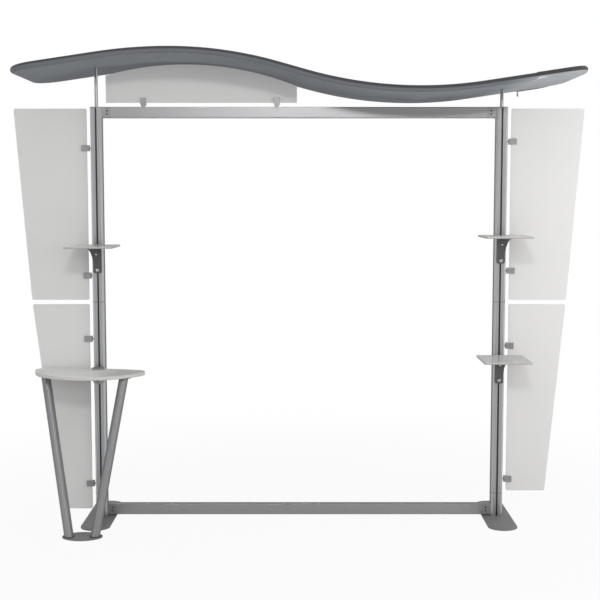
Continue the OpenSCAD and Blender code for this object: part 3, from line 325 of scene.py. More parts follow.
def shade_upright(fin, slot_shade_depth):
    """Paints shade on an upright inside its slots and on its sides, darkens it at its joints, and
    paints a highlight on its cut corners."""
    part = fin.split(fin.place)
    across = fin.apart(fin.math("ABSOLUTE", part["X"]), POST_X)
    deep = fin.apart(part["Y"], PLANE_Y)
    corner = fin.math("SUBTRACT", fin.math("ADD", across, deep), POST_HALF - POST_CHAMFER)
    shell = fin.math("MAXIMUM", fin.math("MAXIMUM", across, deep), corner)
    # (distance, where the blend starts and ends, share there, colour)
    # painted shade inside the slots
    rows = [(shell, POST_HALF - slot_shade_depth - 0.002, POST_HALF - slot_shade_depth, 1.0, 0.0,
             scaled(fin.colour, 0.2)),
            # painted shade on the sides
            (across, POST_HALF - 0.0006, POST_HALF - 0.0002, 0.0, 0.65,
             scaled(fin.colour, 0.35)),
            # painted highlight on the cut corners
            (corner, POST_HALF - 0.0008, POST_HALF - 0.0002, 0.0, 0.6, (0.9, 0.91, 0.92))]
    rows += [(fin.apart(part["Z"], joint), 0.0008, 0.0022, 0.7, 0.0, scaled(fin.colour, 0.3))
             for joint in POST_JOINTS]
    for *pattern, colour in rows:
        fin.blend(fin.spread(*pattern), colour)


def drawn_metal(name, colour, along, roughness=0.36, streak=0.05, slot_shade_depth=0.0):
    """Extruded or drawn metal with fine die lines along one axis and a few handling marks.
    With a depth for the slots it gets the painted shade and highlights of an upright."""
    fin = Finish(name, colour, metallic=1.0, roughness=roughness)
    fine = [700.0] * 3
    fine["xyz".index(along)] = 3.0
    broad = [60.0] * 3
    broad["xyz".index(along)] = 0.8
    lines = fin.noise(1.0, 4.0, 0.65, vector=fin.stretched(fine))
    bands = fin.noise(1.0, 2.0, 0.5, vector=fin.stretched(broad))
    cloud = fin.noise(2.3, 3.0)
    marks = fin.noise(38.0, 5.0, 0.7, distortion=1.4)
    scuffs = fin.spread(marks, 0.66, 0.74, 0.0, 1.0, smooth=True)
    fin.shade(bands, streak).shade(cloud, 0.04).shade(lines, 0.03)
    fin.blend(fin.math("MULTIPLY", scuffs, 0.25), scaled(colour, 1.35))
    if slot_shade_depth:
        shade_upright(fin, slot_shade_depth)
    fin.gloss(fin.math("ADD", fin.math("MULTIPLY", lines, 0.7),
                       fin.math("MULTIPLY", cloud, 0.3)), roughness - 0.07, roughness + 0.07)
    return fin.bump(lines, distance=0.00016, strength=0.6).mat


def coated_metal(name, colour):
    """Powder coat with orange peel, a cloudy tone and rubbed spots."""
    fin = Finish(name, colour, metallic=0.15, roughness=0.46, Coat_Weight=0.12,
                 Coat_Roughness=0.35)
    peel = fin.noise(900.0, 2.0)
    cloud = fin.noise(9.0, 4.0, 0.6)
    rubbed = fin.spread(fin.noise(60.0, 6.0, 0.72, distortion=0.8), 0.62, 0.7, 0.0, 1.0,
                        smooth=True)
    fin.shade(cloud, 0.09)
    fin.blend(fin.math("MULTIPLY", rubbed, 0.3), scaled(colour, 1.5))
    fin.gloss(cloud, 0.4, 0.54)
    fin.bump(peel, distance=0.00008, strength=0.6)
    return fin.bump(cloud, distance=0.0001, strength=0.4).mat


def cast_metal(name, colour, metallic=0.9, roughness=0.42, grain=0.00012):
    """Cast and tumbled metal with a fine grain and small pits."""
    fin = Finish(name, colour, metallic=metallic, roughness=roughness)
    sand = fin.noise(1400.0, 3.0, 0.6)
    cloud = fin.noise(26.0, 4.0, 0.6)
    pits = fin.spread(fin.noise(420.0, 2.0), 0.7, 0.78, 1.0, 0.0, smooth=True)
    fin.shade(cloud, 0.1).shade(sand, 0.08)
    fin.gloss(cloud, roughness - 0.08, roughness + 0.1)
    fin.bump(sand, distance=grain, strength=0.6)
    return fin.bump(pits, distance=0.0001, strength=0.4).mat


def polished_metal(name, colour, roughness=0.2):
    """Bright steel with turning marks and faint fingerprints."""
    fin = Finish(name, colour, metallic=1.0, roughness=roughness)
    swirl = fin.noise(240.0, 4.0, 0.6)
    smear = fin.noise(34.0, 3.0, 0.6, distortion=1.0)
    fin.shade(smear, 0.05).shade(swirl, 0.03)
    fin.gloss(smear, roughness - 0.06, roughness + 0.1)
    return fin.bump(swirl, distance=0.00002, strength=0.4).mat


def frosted_sheet(name, colour):
    """Sand-blasted acrylic: a milky body with cast-in clouds and satin faces."""
    fin = Finish(name, colour, roughness=0.5, IOR=1.49, Transmission_Weight=0.18)
    blast = fin.noise(2600.0, 2.0)
    cloud = fin.noise(1.5, 4.0, 0.55)
    streaks = fin.noise(1.0, 3.0, 0.5, vector=fin.stretched((34.0, 34.0, 0.9)))
    smudge = fin.noise(11.0, 5.0, 0.62, distortion=0.7)
    fin.shade(cloud, 0.022).shade(streaks, 0.012).shade(blast, 0.02)
    fin.gloss(smudge, 0.42, 0.6)
    return fin.bump(blast, distance=0.00003, strength=0.5).mat


def satin_acrylic(name, node, colour, edge, clear, roughness, shine):
    """Satin acrylic of a shelf or the counter with wipe marks and a painted reflection that
    darkens it towards its right end. The sawn edge has its own colour, and a dark line of painted
    shade runs along its lower arris."""
    fin = Finish(name, colour, roughness=roughness, IOR=1.49, Transmission_Weight=clear,
                 Specular_IOR_Level=shine)
    low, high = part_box(node)
    part = fin.split(fin.place)
    cloud = fin.noise(5.0, 3.0, 0.5)
    wipes = fin.noise(1.0, 4.0, 0.6, vector=fin.stretched((5.0, 24.0, 24.0)), distortion=0.6)
    hair = fin.noise(1.0, 2.0, 0.5, vector=fin.stretched((24.0, 1500.0, 300.0)))
    fin.shade(cloud, 0.025).shade(wipes, 0.012)
    # painted reflection: a little darker towards its right end
    span = high[0] - low[0]
    fin.blend(fin.spread(part["X"], low[0] + 0.55 * span, low[0] + 0.8 * span, 0.0, 1.0,
                         smooth=True), scaled(colour, 0.7))
    fin.blend(fin.spread(part["Z"], high[2] - 0.0012, high[2] - 0.0004, 1.0, 0.0), edge)
    # painted shade: a dark line along the lower arris
    fin.blend(fin.spread(part["Z"], low[2] + 0.001, low[2] + 0.0026, 0.8, 0.0),
              scaled(edge, 0.4))
    fin.gloss(wipes, roughness - 0.03, roughness + 0.04)
    return fin.bump(hair, distance=0.000004, strength=0.4).mat


def stretch_cloth(name, under, top, painted_light):
    """Warp-knitted stretch cloth. UV is in metres along and round the canopy. The attribute
    edge_tone is 1 on the dark top and 0 on the underside, with painted shade between them round
    the front edge; the painted light attribute is 1 where light is painted on the underside,
    towards the right end and on the fold at the zip."""
    fin = Finish(name, under, roughness=0.78, Sheen_Weight=0.22, Sheen_Roughness=0.45,
                 Sheen_Tint=(0.8, 0.85, 0.92, 1.0))
    uv = fin.node("ShaderNodeUVMap", uv_map="cloth")
    part = fin.split(uv)
    tone = fin.node("ShaderNodeAttribute", attribute_name="edge_tone").outputs["Fac"]
    # wales run along the canopy, each loop leaning a little to one side
    course, wale = 0.0012, 0.001
    lean = fin.math("SINE", fin.math("MULTIPLY", part["X"], 2 * math.pi / course))
    across = fin.math("ADD", fin.math("MULTIPLY", part["Y"], 2 * math.pi / wale),
                      fin.math("MULTIPLY", lean, 0.9))
    knit = fin.spread(fin.math("SINE", across), -1.0, 1.0, 0.0, 1.0)
    loops = fin.spread(lean, -1.0, 1.0, 0.0, 1.0)
    stripes = fin.noise(1.0, 3.0, 0.6, vector=fin.stretched((1.2, 240.0, 1.0), uv))
    slub = fin.noise(1.0, 4.0, 0.6, vector=fin.stretched((26.0, 160.0, 1.0), uv))
    cloud = fin.noise(2.2, 4.0, 0.6)
    creases = fin.noise(1.0, 3.0, 0.55, vector=fin.stretched((2.2, 13.0, 1.0), uv), distortion=0.8)
    painted_light_mask = fin.node("ShaderNodeAttribute", attribute_name="painted_light").outputs["Fac"]
    # painted light on the underside near the zip end, then the dark top cloth and the painted
    # shade round the front edge
    fin.blend(painted_light_mask, painted_light).blend(tone, top)
    fin.shade(cloud, 0.05).shade(stripes, 0.05).shade(slub, 0.05).shade(knit, 0.06)
    fin.gloss(slub, 0.7, 0.86)
    weave = fin.math("ADD", knit, fin.math("MULTIPLY", loops, 0.5))
    fin.bump(creases, distance=0.0016, strength=0.55)
    return fin.bump(weave, distance=0.00012, strength=0.7).mat


def woven_tape(name, colour):
    """Herringbone tape of the zip and of the reinforcing rings."""
    fin = Finish(name, colour, roughness=0.72, Sheen_Weight=0.15)
    ribs = fin.node("ShaderNodeTexWave", {"Vector": fin.place, "Scale": 310.0,
                                          "Distortion": 0.6, "Detail": 2.0},
                    wave_type="BANDS", bands_direction="DIAGONAL").outputs["Fac"]
    fuzz = fin.noise(700.0, 3.0)
    fin.shade(ribs, 0.14).shade(fuzz, 0.08)
    fin.gloss(fuzz, 0.64, 0.82)
    return fin.bump(ribs, distance=0.0002, strength=0.6).mat


def moulded(name, colour, roughness=0.4):
    """Moulded nylon or rubber with a fine spark-eroded grain."""
    fin = Finish(name, colour, roughness=roughness)
    grain = fin.noise(1800.0, 2.0)
    cloud = fin.noise(80.0, 3.0)
    fin.shade(cloud, 0.08)
    fin.gloss(cloud, roughness - 0.06, roughness + 0.08)
    return fin.bump(grain, distance=0.00005, strength=0.5).mat


finishes = {}


def finish(key):
    """The finish of that key, made when it is first asked for."""
    if key not in finishes:
        s = settings()
        m, a, c, z = s.metal, s.acrylic, s.canopy, s.zip
        rows = {
            "alu_up": (drawn_metal, "anodised_upright", m.upright, "z", 0.36, 0.05,
                       m.slot_shade_depth),
            "alu_along": (drawn_metal, "anodised_crossbar", m.alu, "x"),
            "alu_part": (cast_metal, "anodised_part", m.alu, 0.8, 0.5, 0.00004),
            "alu_leg": (drawn_metal, "anodised_leg", m.leg, "z", 0.5, 0.03),
            "post": (drawn_metal, "drawn_post", m.post, "z", 0.34, 0.03),
            "bright": (polished_metal, "bright_steel", m.bright),
            "lock": (polished_metal, "lock_steel", m.lock, 0.34),
            "cast": (cast_metal, "cast_zinc", m.cast),
            "gun": (cast_metal, "gunmetal_casting", m.gun, 0.6, 0.42, 0.00018),
            "coat": (coated_metal, "powder_coat", m.coat),
            "zinc": (cast_metal, "zip_metal", m.zinc, 0.9, 0.4),
            "panel": (frosted_sheet, "frosted_panel", a.panel),
            "counter": (satin_acrylic, "satin_counter", "counter_top", a.counter, a.edge,
                        0.08, 0.45, 0.25),
            "cloth": (stretch_cloth, "stretch_cloth", c.under_colour, c.top_colour,
                      c.painted_light_colour),
            "tape": (woven_tape, "zip_tape", z.tape_colour),
            "ring": (woven_tape, "webbing_ring", c.top_colour),
            "coil": (moulded, "zip_coil", scaled(z.tape_colour, 0.7)),
            "thread": (moulded, "sewing_thread", z.thread_colour, 0.6),
        }
        for node in ("shelf_left", "shelf_right", "shelf_low"):
            rows[node] = (satin_acrylic, "satin_" + node, node, a.shelf, a.edge, 0.3, 0.16, 0.5)
        make, *values = rows[key]
        finishes[key] = make(*values)
    return finishes[key]


def dress(key, *nodes):
    """Gives CAD nodes a finish."""
    for name in nodes:
        for slot in frame["nodes"][name].material_slots:
            slot.material = finish(key)


# Meshes


def body_of(node):
    return frame["nodes"][node]["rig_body"]


def placed(name, data):
    """A new object in the scene."""
    obj = bpy.data.objects.new(name, data)
    bpy.context.scene.collection.objects.link(obj)
    return obj


def from_bmesh(bm, name, key, recalc=True, smooth_deg=35.0):
    if recalc:
        bmesh.ops.recalc_face_normals(bm, faces=bm.faces)
    mesh = bpy.data.meshes.new(name)
    bm.to_mesh(mesh)
    bm.free()
    mesh.materials.append(finish(key))
    mesh.shade_smooth()
    mesh.set_sharp_from_angle(angle=math.radians(smooth_deg))
    return placed(name, mesh)


def applied(obj):
    """A plain mesh in place of the object's modifiers."""
    view = bpy.context.evaluated_depsgraph_get()
    mesh = bpy.data.meshes.new_from_object(obj.evaluated_get(view), depsgraph=view)
    obj.modifiers.clear()
    old = obj.data
    obj.data = mesh
    mesh.name = obj.name
    if old.users == 0:
        bpy.data.meshes.remove(old)
    return obj


def softened(name, node, key, width, segments=2):
    """A copy of a CAD node with its edges rounded, which stands for the node."""
    bm = bmesh.new()
    bm.from_mesh(frame["nodes"][node].data)
    bmesh.ops.remove_doubles(bm, verts=bm.verts, dist=2e-6)
    bmesh.ops.dissolve_limit(bm, angle_limit=math.radians(0.4), verts=bm.verts,
                             edges=bm.edges, use_dissolve_boundaries=False)
    obj = from_bmesh(bm, name, key, recalc=False)
    mod = obj.modifiers.new("rounding", "BEVEL")
    mod.width = width
    mod.segments = segments
    mod.limit_method = "ANGLE"
    mod.angle_limit = math.radians(25)
    mod.use_clamp_overlap = True
    mod.harden_normals = True
    applied(obj)
    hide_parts(node)
    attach(obj, body_of(node))


# Canopy shape


class Wave:
    """The centre line of the canopy, walked by its length from the crest."""

    def __init__(self, c):
        self.c = c
        self.z0 = c.top - c.half_t
        a, b = c.end_slope, c.mid_slope
        mid = (c.drop - (c.crest_mid_r + c.trough_r) * (1 - math.cos(b))) / math.sin(b)
        # (length, bend) of each stretch to the right of the crest, then to the left
        self.right = [(c.crest_mid_r * b, -1 / c.crest_mid_r), (mid, 0.0),
                      (c.trough_r * (a + b), 1 / c.trough_r)]
        self.left = [(c.crest_end_r * a, -1 / c.crest_end_r)]
        self.trough_x = (c.crest_x + (c.crest_mid_r + c.trough_r) * math.sin(b)
                         + mid * math.cos(b))
        self.line_x = c.length / 2 - c.half_t
        self.line_y = c.depth / 2 - c.half_t
        self.s_right = self.at_x(self.line_x)
        self.s_left = self.at_x(-self.line_x)

    def point(self, s):
        """x, z, slope and bend at a length from the crest."""
        x, z, turn, rest = self.c.crest_x, self.z0, 0.0, abs(s)
        way, path = (1.0, self.right) if s >= 0 else (-1.0, self.left)
        for length, bend in path + [(math.inf, 0.0)]:
            step = min(rest, length) * way
            if bend:
                x += (math.sin(turn + bend * step) - math.sin(turn)) / bend
                z += (math.cos(turn) - math.cos(turn + bend * step)) / bend
            else:
                x += step * math.cos(turn)
                z += step * math.sin(turn)
            turn += bend * step
            rest -= abs(step)
            if rest <= 0:
                break
        return x, z, turn, bend

    def at_x(self, x):
        low, high = -3.0, 3.0
        for _ in range(60):
            s = (low + high) / 2
            if self.point(s)[0] < x:
                low = s
            else:
                high = s
        return s

    def axes(self, s):
        """Centre point, direction along and direction up at a length from the crest."""
        x, z, turn, _ = self.point(s)
        return (Vector((x, PLANE_Y, z)), Vector((math.cos(turn), 0, math.sin(turn))),
                Vector((-math.sin(turn), 0, math.cos(turn))))


def smooth(a, b, v):
    """Rises gently from 0 at a to 1 at b."""
    t = np.clip((np.asarray(v, float) - a) / (b - a), 0, 1)
    return t * t * (3 - 2 * t)


def bell(v, width):
    """1 at 0, falling to both sides."""
    return np.exp(-((v / width) ** 2))


# spacing of the cloth mesh along, across, and near the posts and the front end of the zip
STEP_ALONG, STEP_ACROSS, STEP_FINE = 0.0105, 0.017, 0.004
POST_REACH, ZIP_REACH = 0.026, 0.05  # how far the fine spacing reaches from these
HOLE_CUT, HOLE_R = 0.0125, 0.0112  # faces left out round a post, and the hole's radius
TUBE_REACH = 0.07  # how far from a cross tube the cloth still lies on it
BELLY_IN = 0.16  # how far in from its edge the canopy takes its full belly
BEND_REACH = 0.12  # length to both sides over which the bends of the wave are evened out
FULL_BOW_R = 1.9  # bend radius below which the cloth bows fully
FANS, FAN_R = 9, 0.07  # tension folds round a post, and where they are deepest
FAN_DEPTH, FOLD_DEPTH = 0.0011, 0.0025  # these folds, and the one at the zip


def stations(low, high, rim, step, spots):
    """Positions from low to high, close together round the two rims and near some spots,
    each given with its reach."""
    curve = [rim * (1 - math.cos(math.radians(d))) for d in (0, 9, 20, 32, 45, 58, 72, 90)]
    ends = curve + [rim + k for k in (0.006, 0.012, 0.018, 0.026, 0.034, 0.042, 0.05)]
    made = [low + v for v in ends] + [high - v for v in ends]
    inner = np.arange(low + rim + 0.058, high - rim - 0.052, step)
    made += [v for v in inner if all(abs(v - s) > reach for s, reach in spots)]
    for s, reach in spots:
        made += list(np.arange(s - reach, s + reach + STEP_FINE / 2, STEP_FINE))
    return np.array(sorted(made))


def closed_sheet(run, y, inside, sides, posts):
    """A mesh of an upper and a lower grid that share their rim, open round each post."""
    bm = bmesh.new()
    tone_layer, painted_light_layer = (bm.verts.layers.float.new(n) for n in ("edge_tone", "painted_light"))
    uv_layer = bm.loops.layers.uv.new("cloth")
    rows, cols = run.shape
    points = {}

    def spot(i, j, side):
        return i, j, side if inside[i, j] > 0 else 0

    for side, (x, z, tone, painted_light, _) in sides.items():
        for i, j in np.ndindex(rows, cols):
            if spot(i, j, side) not in points:
                vert = bm.verts.new((x[i, j], PLANE_Y + y[i, j], z[i, j]))
                vert[tone_layer], vert[painted_light_layer] = float(tone[i, j]), float(painted_light[i, j])
                points[spot(i, j, side)] = vert
    for side, (*_, girth) in sides.items():
        for i, j in np.ndindex(rows - 1, cols - 1):
            mid_run, mid_y = (run[i, j] + run[i + 1, j]) / 2, (y[i, j] + y[i, j + 1]) / 2
            if side < 0 and any(math.hypot(mid_run - p, mid_y) < HOLE_CUT for p in posts):
                continue
            corners = [(i, j), (i + 1, j), (i + 1, j + 1), (i, j + 1)][::side]
            face = bm.faces.new([points[spot(*corner, side)] for corner in corners])
            for loop, corner in zip(face.loops, corners):
                loop[uv_layer].uv = run[corner], girth[corner]
    # the rim of each hole on a true circle round its post
    for vert in [v for v in bm.verts if v.is_boundary]:
        post = min((-POST_X, POST_X), key=lambda p: abs(p - vert.co.x))
        flat = Vector((vert.co.x - post, vert.co.y - PLANE_Y)).normalized() * HOLE_R
        vert.co.x, vert.co.y = post + flat.x, PLANE_Y + flat.y
    bmesh.ops.delete(bm, geom=[v for v in bm.verts if not v.link_faces], context="VERTS")
    return from_bmesh(bm, "canopy_cloth", "cloth", smooth_deg=70.0)


def cloth_girth(y, half_y, rim):
    """Lengths round the cover, from the back edge under the canopy to the front edge and
    back over the top: for the underside, then for the top."""
    half_girth = rim * math.pi / 2 + half_y - rim
    edge_in = half_y - np.abs(y)
    girth = np.where(edge_in < rim, rim * np.arccos(np.clip((rim - edge_in) / rim, -1, 1)),
                     rim * math.pi / 2 + edge_in - rim)
    girth = np.where(y > 0, girth, 2 * half_girth - girth)
    return girth, 4 * half_girth - girth


def canopy_cloth(c, z):
    """The stretched sleeve: how far it lies from the middle of the canopy on both sides,
    its tones with painted shade and painted light, and its UV in metres along and round."""
    wave = Wave(c)
    rim, half_y = c.half_t, c.depth / 2
    corner = c.corner_r + rim
    low, high = wave.s_left - rim, wave.s_right + rim
    posts = [wave.at_x(-POST_X), wave.at_x(POST_X)]
    zip_end = wave.at_x(z.front_x)
    along = stations(low, high, rim, STEP_ALONG,
                     [*((at, POST_REACH) for at in posts), (zip_end, ZIP_REACH)])
    across = stations(-half_y, half_y, rim, STEP_ACROSS, [(0.0, POST_REACH)])
    middle, reach = (low + high) / 2, (high - low) / 2
    over = np.maximum(np.abs(along - middle) - (reach - corner), 0)
    width = half_y - corner + np.sqrt(np.maximum(corner**2 - over**2, 0))
    run, share = np.meshgrid(along, across / half_y, indexing="ij")
    y = share * width[:, None]
    # distance in from the plan outline, and half the thickness of the cover there
    past_x, past_y = np.abs(run - middle) - (reach - corner), np.abs(y) - (half_y - corner)
    outside = np.hypot(np.maximum(past_x, 0), np.maximum(past_y, 0))
    outside += np.minimum(np.maximum(past_x, past_y), 0)
    inside = np.maximum(corner - outside, 0)
    inside[0], inside[-1], inside[:, 0], inside[:, -1] = 0, 0, 0, 0
    half = np.where(inside < rim, np.sqrt(np.maximum(rim**2 - (rim - inside) ** 2, 0)), rim)
    x, centre_z, turn, _ = (np.array(k)[:, None] for k in zip(*[wave.point(s) for s in along]))
    near = np.linspace(-BEND_REACH, BEND_REACH, 7)
    bend = np.array([[np.mean([wave.point(s + d)[3] for d in near])] for s in along])
    belly = (1 - share**2) * smooth(rim, BELLY_IN, inside)
    # free is 0 on the cross tubes, which hold the cloth, and 1 between them
    tubes = [posts[0], 0.0, wave.at_x(0.0), wave.at_x(wave.trough_x), posts[1]]
    free = np.prod([1 - bell(run - s, TUBE_REACH) for s in tubes], axis=0)
    # tension folds that fan out from the posts, and uneven gathers along the zip
    fans = sum(np.sin(FANS * np.arctan2(y, run - s) + k)
               * np.exp(-(np.hypot(run - s, y) - FAN_R) ** 2 / 0.006)
               for k, s in enumerate(posts))
    zip_near = smooth(zip_end - 0.02, zip_end + 0.05, run) * bell(inside - rim, 0.03)
    gather = np.sin(run * 260 + 6 * np.sin(run * 31)) * np.sin(y * 23 + 1)
    # a fold at the front end of the zip, from the underside up to the tape
    past = run - zip_end
    under = smooth(0.012, -0.024, past)
    fold = ((y < 0) * bell(past - 0.008, 0.036)
            * bell(inside - 0.0044 - 0.034 * under, 0.0034 + 0.01 * under))
    # painted light: the underside lighter towards the right end, with a painted highlight along
    # the fold
    painted_light = 0.42 * smooth(zip_end - 0.24, zip_end + 0.06, run + 0.12 * y) + 0.85 * fold
    round_rim = np.degrees(np.arccos(np.clip((rim - inside) / rim, -1, 1)))
    girth_under, girth_over = cloth_girth(y, half_y, rim)
    sides = {}
    for side in (1, -1):
        drawn = c.draw_in * belly * (0.25 + 0.75 * free)
        shift = c.bow * belly * np.clip(bend * FULL_BOW_R, -1, 1)
        shift = np.where(side * shift < 0, shift * free, shift)  # a cross tube holds it up
        lift = half - drawn * (0.75 if side > 0 else 0.6)
        if side < 0:
            lift = lift + FAN_DEPTH * fans * smooth(0.01, 0.04, inside) + FOLD_DEPTH * fold
        lift = lift + c.pucker * zip_near * gather
        lift = np.where(inside <= 0, 0, np.maximum(lift, 0))
        off = side * lift + shift
        # degrees round the rim below the end of the dark edge, which is wider at the right
        fall = round_rim * -side - np.interp(run, [low, high], [-14, 6])
        # painted shade: in front, the last of the dark fades more slowly round the rim
        shaded = 0.3 * (1 - smooth(-0.3, -0.1, y))
        tone = 1 - (1 - shaded) * smooth(-9, 11, fall) - shaded * smooth(10, 100, fall)
        sides[side] = (x - np.sin(turn) * off, centre_z + np.cos(turn) * off, tone,
                       painted_light * (side < 0), girth_under if side < 0 else girth_over)
    return closed_sheet(run, y, inside, sides, posts)


def zip_path(c, z):
    """The zip round the right end of the canopy: (point, outward, sideways) at each step."""
    wave, step = Wave(c), 0.004
    front, back = wave.at_x(z.front_x), wave.at_x(z.back_x)
    radius, edge_y, end = c.corner_r, wave.line_y, wave.s_right
    bend = [(math.sin(d), math.cos(d)) for d in np.arange(0, math.pi / 2, step / radius)]
    # (length along the canopy, y, and the way out along and across) at each step
    plan = [(s, -edge_y, 0.0, -1.0) for s in np.arange(front, end - radius, step)]
    plan += [(end - radius + radius * a, -edge_y + radius - radius * b, a, -b) for a, b in bend]
    plan += [(end, y, 1.0, 0.0) for y in np.arange(-edge_y + radius, edge_y - radius, step)]
    plan += [(end - radius + radius * b, edge_y - radius + radius * a, b, a) for a, b in bend]
    plan += [(s, edge_y, 0.0, 1.0) for s in np.arange(end - radius, back, -step)]
    # the zip faces a little upwards, and turns down over 63 steps near its back end
    last = len(plan) - 12
    raised, lowered = math.radians(38), math.radians(-90)
    made = []
    for k, (s, y, out_along, out_across) in enumerate(plan):
        centre, along, up = wave.axes(s)
        centre.y += y
        turn = raised + (lowered - raised) * float(smooth(last - 63, last, k))
        flat = along * out_along + Vector((0, out_across, 0))
        out = flat * math.cos(turn) + up * math.sin(turn)
        side = flat * -math.sin(turn) + up * math.cos(turn)
        made.append((centre, out.normalized(), side.normalized()))
    return made


def coil_place(c, centre, out, side):
    """Where the coils lie on the tape, nearer to its upper edge."""
    turn, lift = math.radians(24), 0.0033
    way = out * math.cos(turn) + side * math.sin(turn)
    return centre + way * (c.half_t + lift), out.cross(side), way


def zip_tape(c, z):
    """The woven tape that the coils are sewn to."""
    path = zip_path(c, z)
    bm = bmesh.new()
    half, thickness, crown = z.tape_w / 2, 0.0009, 0.0028
    rows = []
    for k, (centre, out, side) in enumerate(path):
        row = []
        end = min(1.0, (0.35 + k) / 2, (len(path) - 0.65 - k) / 2)  # thinner at both ends
        for t in np.linspace(-1, 1, 9):
            angle = t * half / c.half_t
            ripple = 0.0003 * math.sin(k * 0.9 + 3 * t) * abs(t)
            lift = thickness + crown * (1 - abs(t) ** 4) * end + ripple
            row.append(bm.verts.new(centre + (out * math.cos(angle) + side * math.sin(angle))
                                    * (c.half_t + lift)))
        rows.append(row)
    for a, b in zip(rows, rows[1:]):
        for p, q, u, w in zip(a, a[1:], b[1:], b):
            bm.faces.new((p, q, u, w))
    obj = from_bmesh(bm, "canopy_zip_tape", "tape", smooth_deg=60.0)
    mod = obj.modifiers.new("tape", "SOLIDIFY")
    mod.thickness = thickness
    mod.offset = -1.0
    return applied(obj)


def rail(name, rows):
    """A line of points with directions along and out, for stitches and coils."""
    mesh = bpy.data.meshes.new(name)
    mesh.from_pydata([r[0] for r in rows], [(i, i + 1) for i in range(len(rows) - 1)], [])
    for label, index in (("along", 1), ("out", 2)):
        layer = mesh.attributes.new(label, "FLOAT_VECTOR", "POINT")
        layer.data.foreach_set("vector", [v for r in rows for v in r[index]])
    return placed(name, mesh)


REPEAT_SIZES = {"Step": 0.005, "Length": 0.003, "Width": 0.001, "Thickness": 0.0005}


def repeat_tree(kind):
    """Nodes that set a stitch or a coil at every step of a rail."""
    tree = bpy.data.node_groups.new("repeat_" + kind, "GeometryNodeTree")
    face = tree.interface
    face.new_socket("Geometry", in_out="INPUT", socket_type="NodeSocketGeometry")
    for label, value in REPEAT_SIZES.items():
        sock = face.new_socket(label, in_out="INPUT", socket_type="NodeSocketFloat")
        sock.default_value = value
        sock.min_value = 0.0
    face.new_socket("Material", in_out="INPUT", socket_type="NodeSocketMaterial")
    face.new_socket("Geometry", in_out="OUTPUT", socket_type="NodeSocketGeometry")
    graph = Graph(tree)
    given = graph.node("NodeGroupInput").outputs
    curve = graph.node("GeometryNodeMeshToCurve", {"Mesh": given["Geometry"]})
    spaced = graph.node("GeometryNodeResampleCurve", {"Curve": curve, "Length": given["Step"]},
                        mode="LENGTH")
    turn = (0.0, 0.0, 0.0)
    for label, axis, pivot in (("out", "Z", "AUTO"), ("along", "X", "Z")):
        way = graph.node("GeometryNodeInputNamedAttribute", {"Name": label},
                         data_type="FLOAT_VECTOR")
        turn = graph.node("FunctionNodeAlignRotationToVector",
                          {"Rotation": turn, "Vector": way}, axis=axis, pivot_axis=pivot)
    size = graph.node("ShaderNodeCombineXYZ", {"X": given["Length"], "Y": given["Width"],
                                               "Z": given["Thickness"]})
    if kind == "stitch":
        shape = graph.node("GeometryNodeMeshUVSphere",
                           {"Segments": 8, "Rings": 5, "Radius": 0.5})
    else:
        ring, wire = (graph.node("GeometryNodeCurvePrimitiveCircle",
                                 {"Resolution": count, "Radius": radius})
                      for count, radius in ((10, 0.36), (5, 0.14)))
        coil = graph.node("GeometryNodeCurveToMesh", {"Curve": ring, "Profile Curve": wire})
        lean = (0.0, math.radians(90), math.radians(14))
        shape = graph.node("GeometryNodeTransform", {"Geometry": coil, "Rotation": lean})
    copies = graph.node("GeometryNodeInstanceOnPoints",
                        {"Points": spaced, "Instance": shape, "Rotation": turn, "Scale": size})
    real = graph.node("GeometryNodeRealizeInstances", {"Geometry": copies})
    painted = graph.node("GeometryNodeSetMaterial",
                         {"Geometry": real, "Material": given["Material"]})
    graph.node("NodeGroupOutput", {"Geometry": painted})
    return tree


def repeated(name, rows, kind, sizes, key):
    """Stitches or coils along a rail, as one plain mesh. The sizes are the step, length,
    width and thickness."""
    obj = rail(name, rows)
    tree = bpy.data.node_groups.get("repeat_" + kind) or repeat_tree(kind)
    mod = obj.modifiers.new(name, "NODES")
    mod.node_group = tree
    values = {**dict(zip(REPEAT_SIZES, sizes)), "Material": finish(key)}
    for item in tree.interface.items_tree:
        if item.in_out == "INPUT" and item.name in values:
            mod[item.identifier] = values[item.name]
    applied(obj)
    if not obj.data.polygons:
        raise RuntimeError(f"{name} came out empty")
    obj.data.shade_smooth()
    return obj


def joined(name, objects):
    """Several meshes as one object."""
    bm = bmesh.new()
    for obj in objects:
        bm.from_mesh(obj.data)
    mesh = bpy.data.meshes.new(name)
    bm.to_mesh(mesh)
    bm.free()
    # every slot, as the nodes leave the first one empty
    for mat in objects[0].data.materials:
        mesh.materials.append(mat)
    for obj in objects:
        bpy.data.objects.remove(obj)
    return placed(name, mesh)


def edge_seam(c, side):
    """Rail of the seam along the front (-1) or back (1) edge of the cover."""
    wave = Wave(c)
    rows = []
    turn, lift, step = math.radians(-74), 0.0002, 0.012
    for s in np.arange(wave.s_left + c.corner_r, wave.s_right - c.corner_r, step):
        centre, along, up = wave.axes(s)
        out = Vector((0, side, 0)) * math.cos(turn) + up * math.sin(turn)
        centre.y += side * wave.line_y
        rows.append((centre + out * (c.half_t + lift), along, out))
    return rows


RING_STEPS = 48


def round_post(c, side, above):
    """Round the hole for a canopy post: its middle at a height above the underside, the
    way up, and the directions out and round at each step."""
    wave = Wave(c)
    centre, along, up = wave.axes(wave.at_x(side * POST_X))
    turns = [2 * math.pi * k / RING_STEPS for k in range(RING_STEPS + 1)]
    return centre - up * (c.half_t - above), up, [
        (along * math.cos(a) + Vector((0, math.sin(a), 0)),
         -along * math.sin(a) + Vector((0, math.cos(a), 0))) for a in turns]


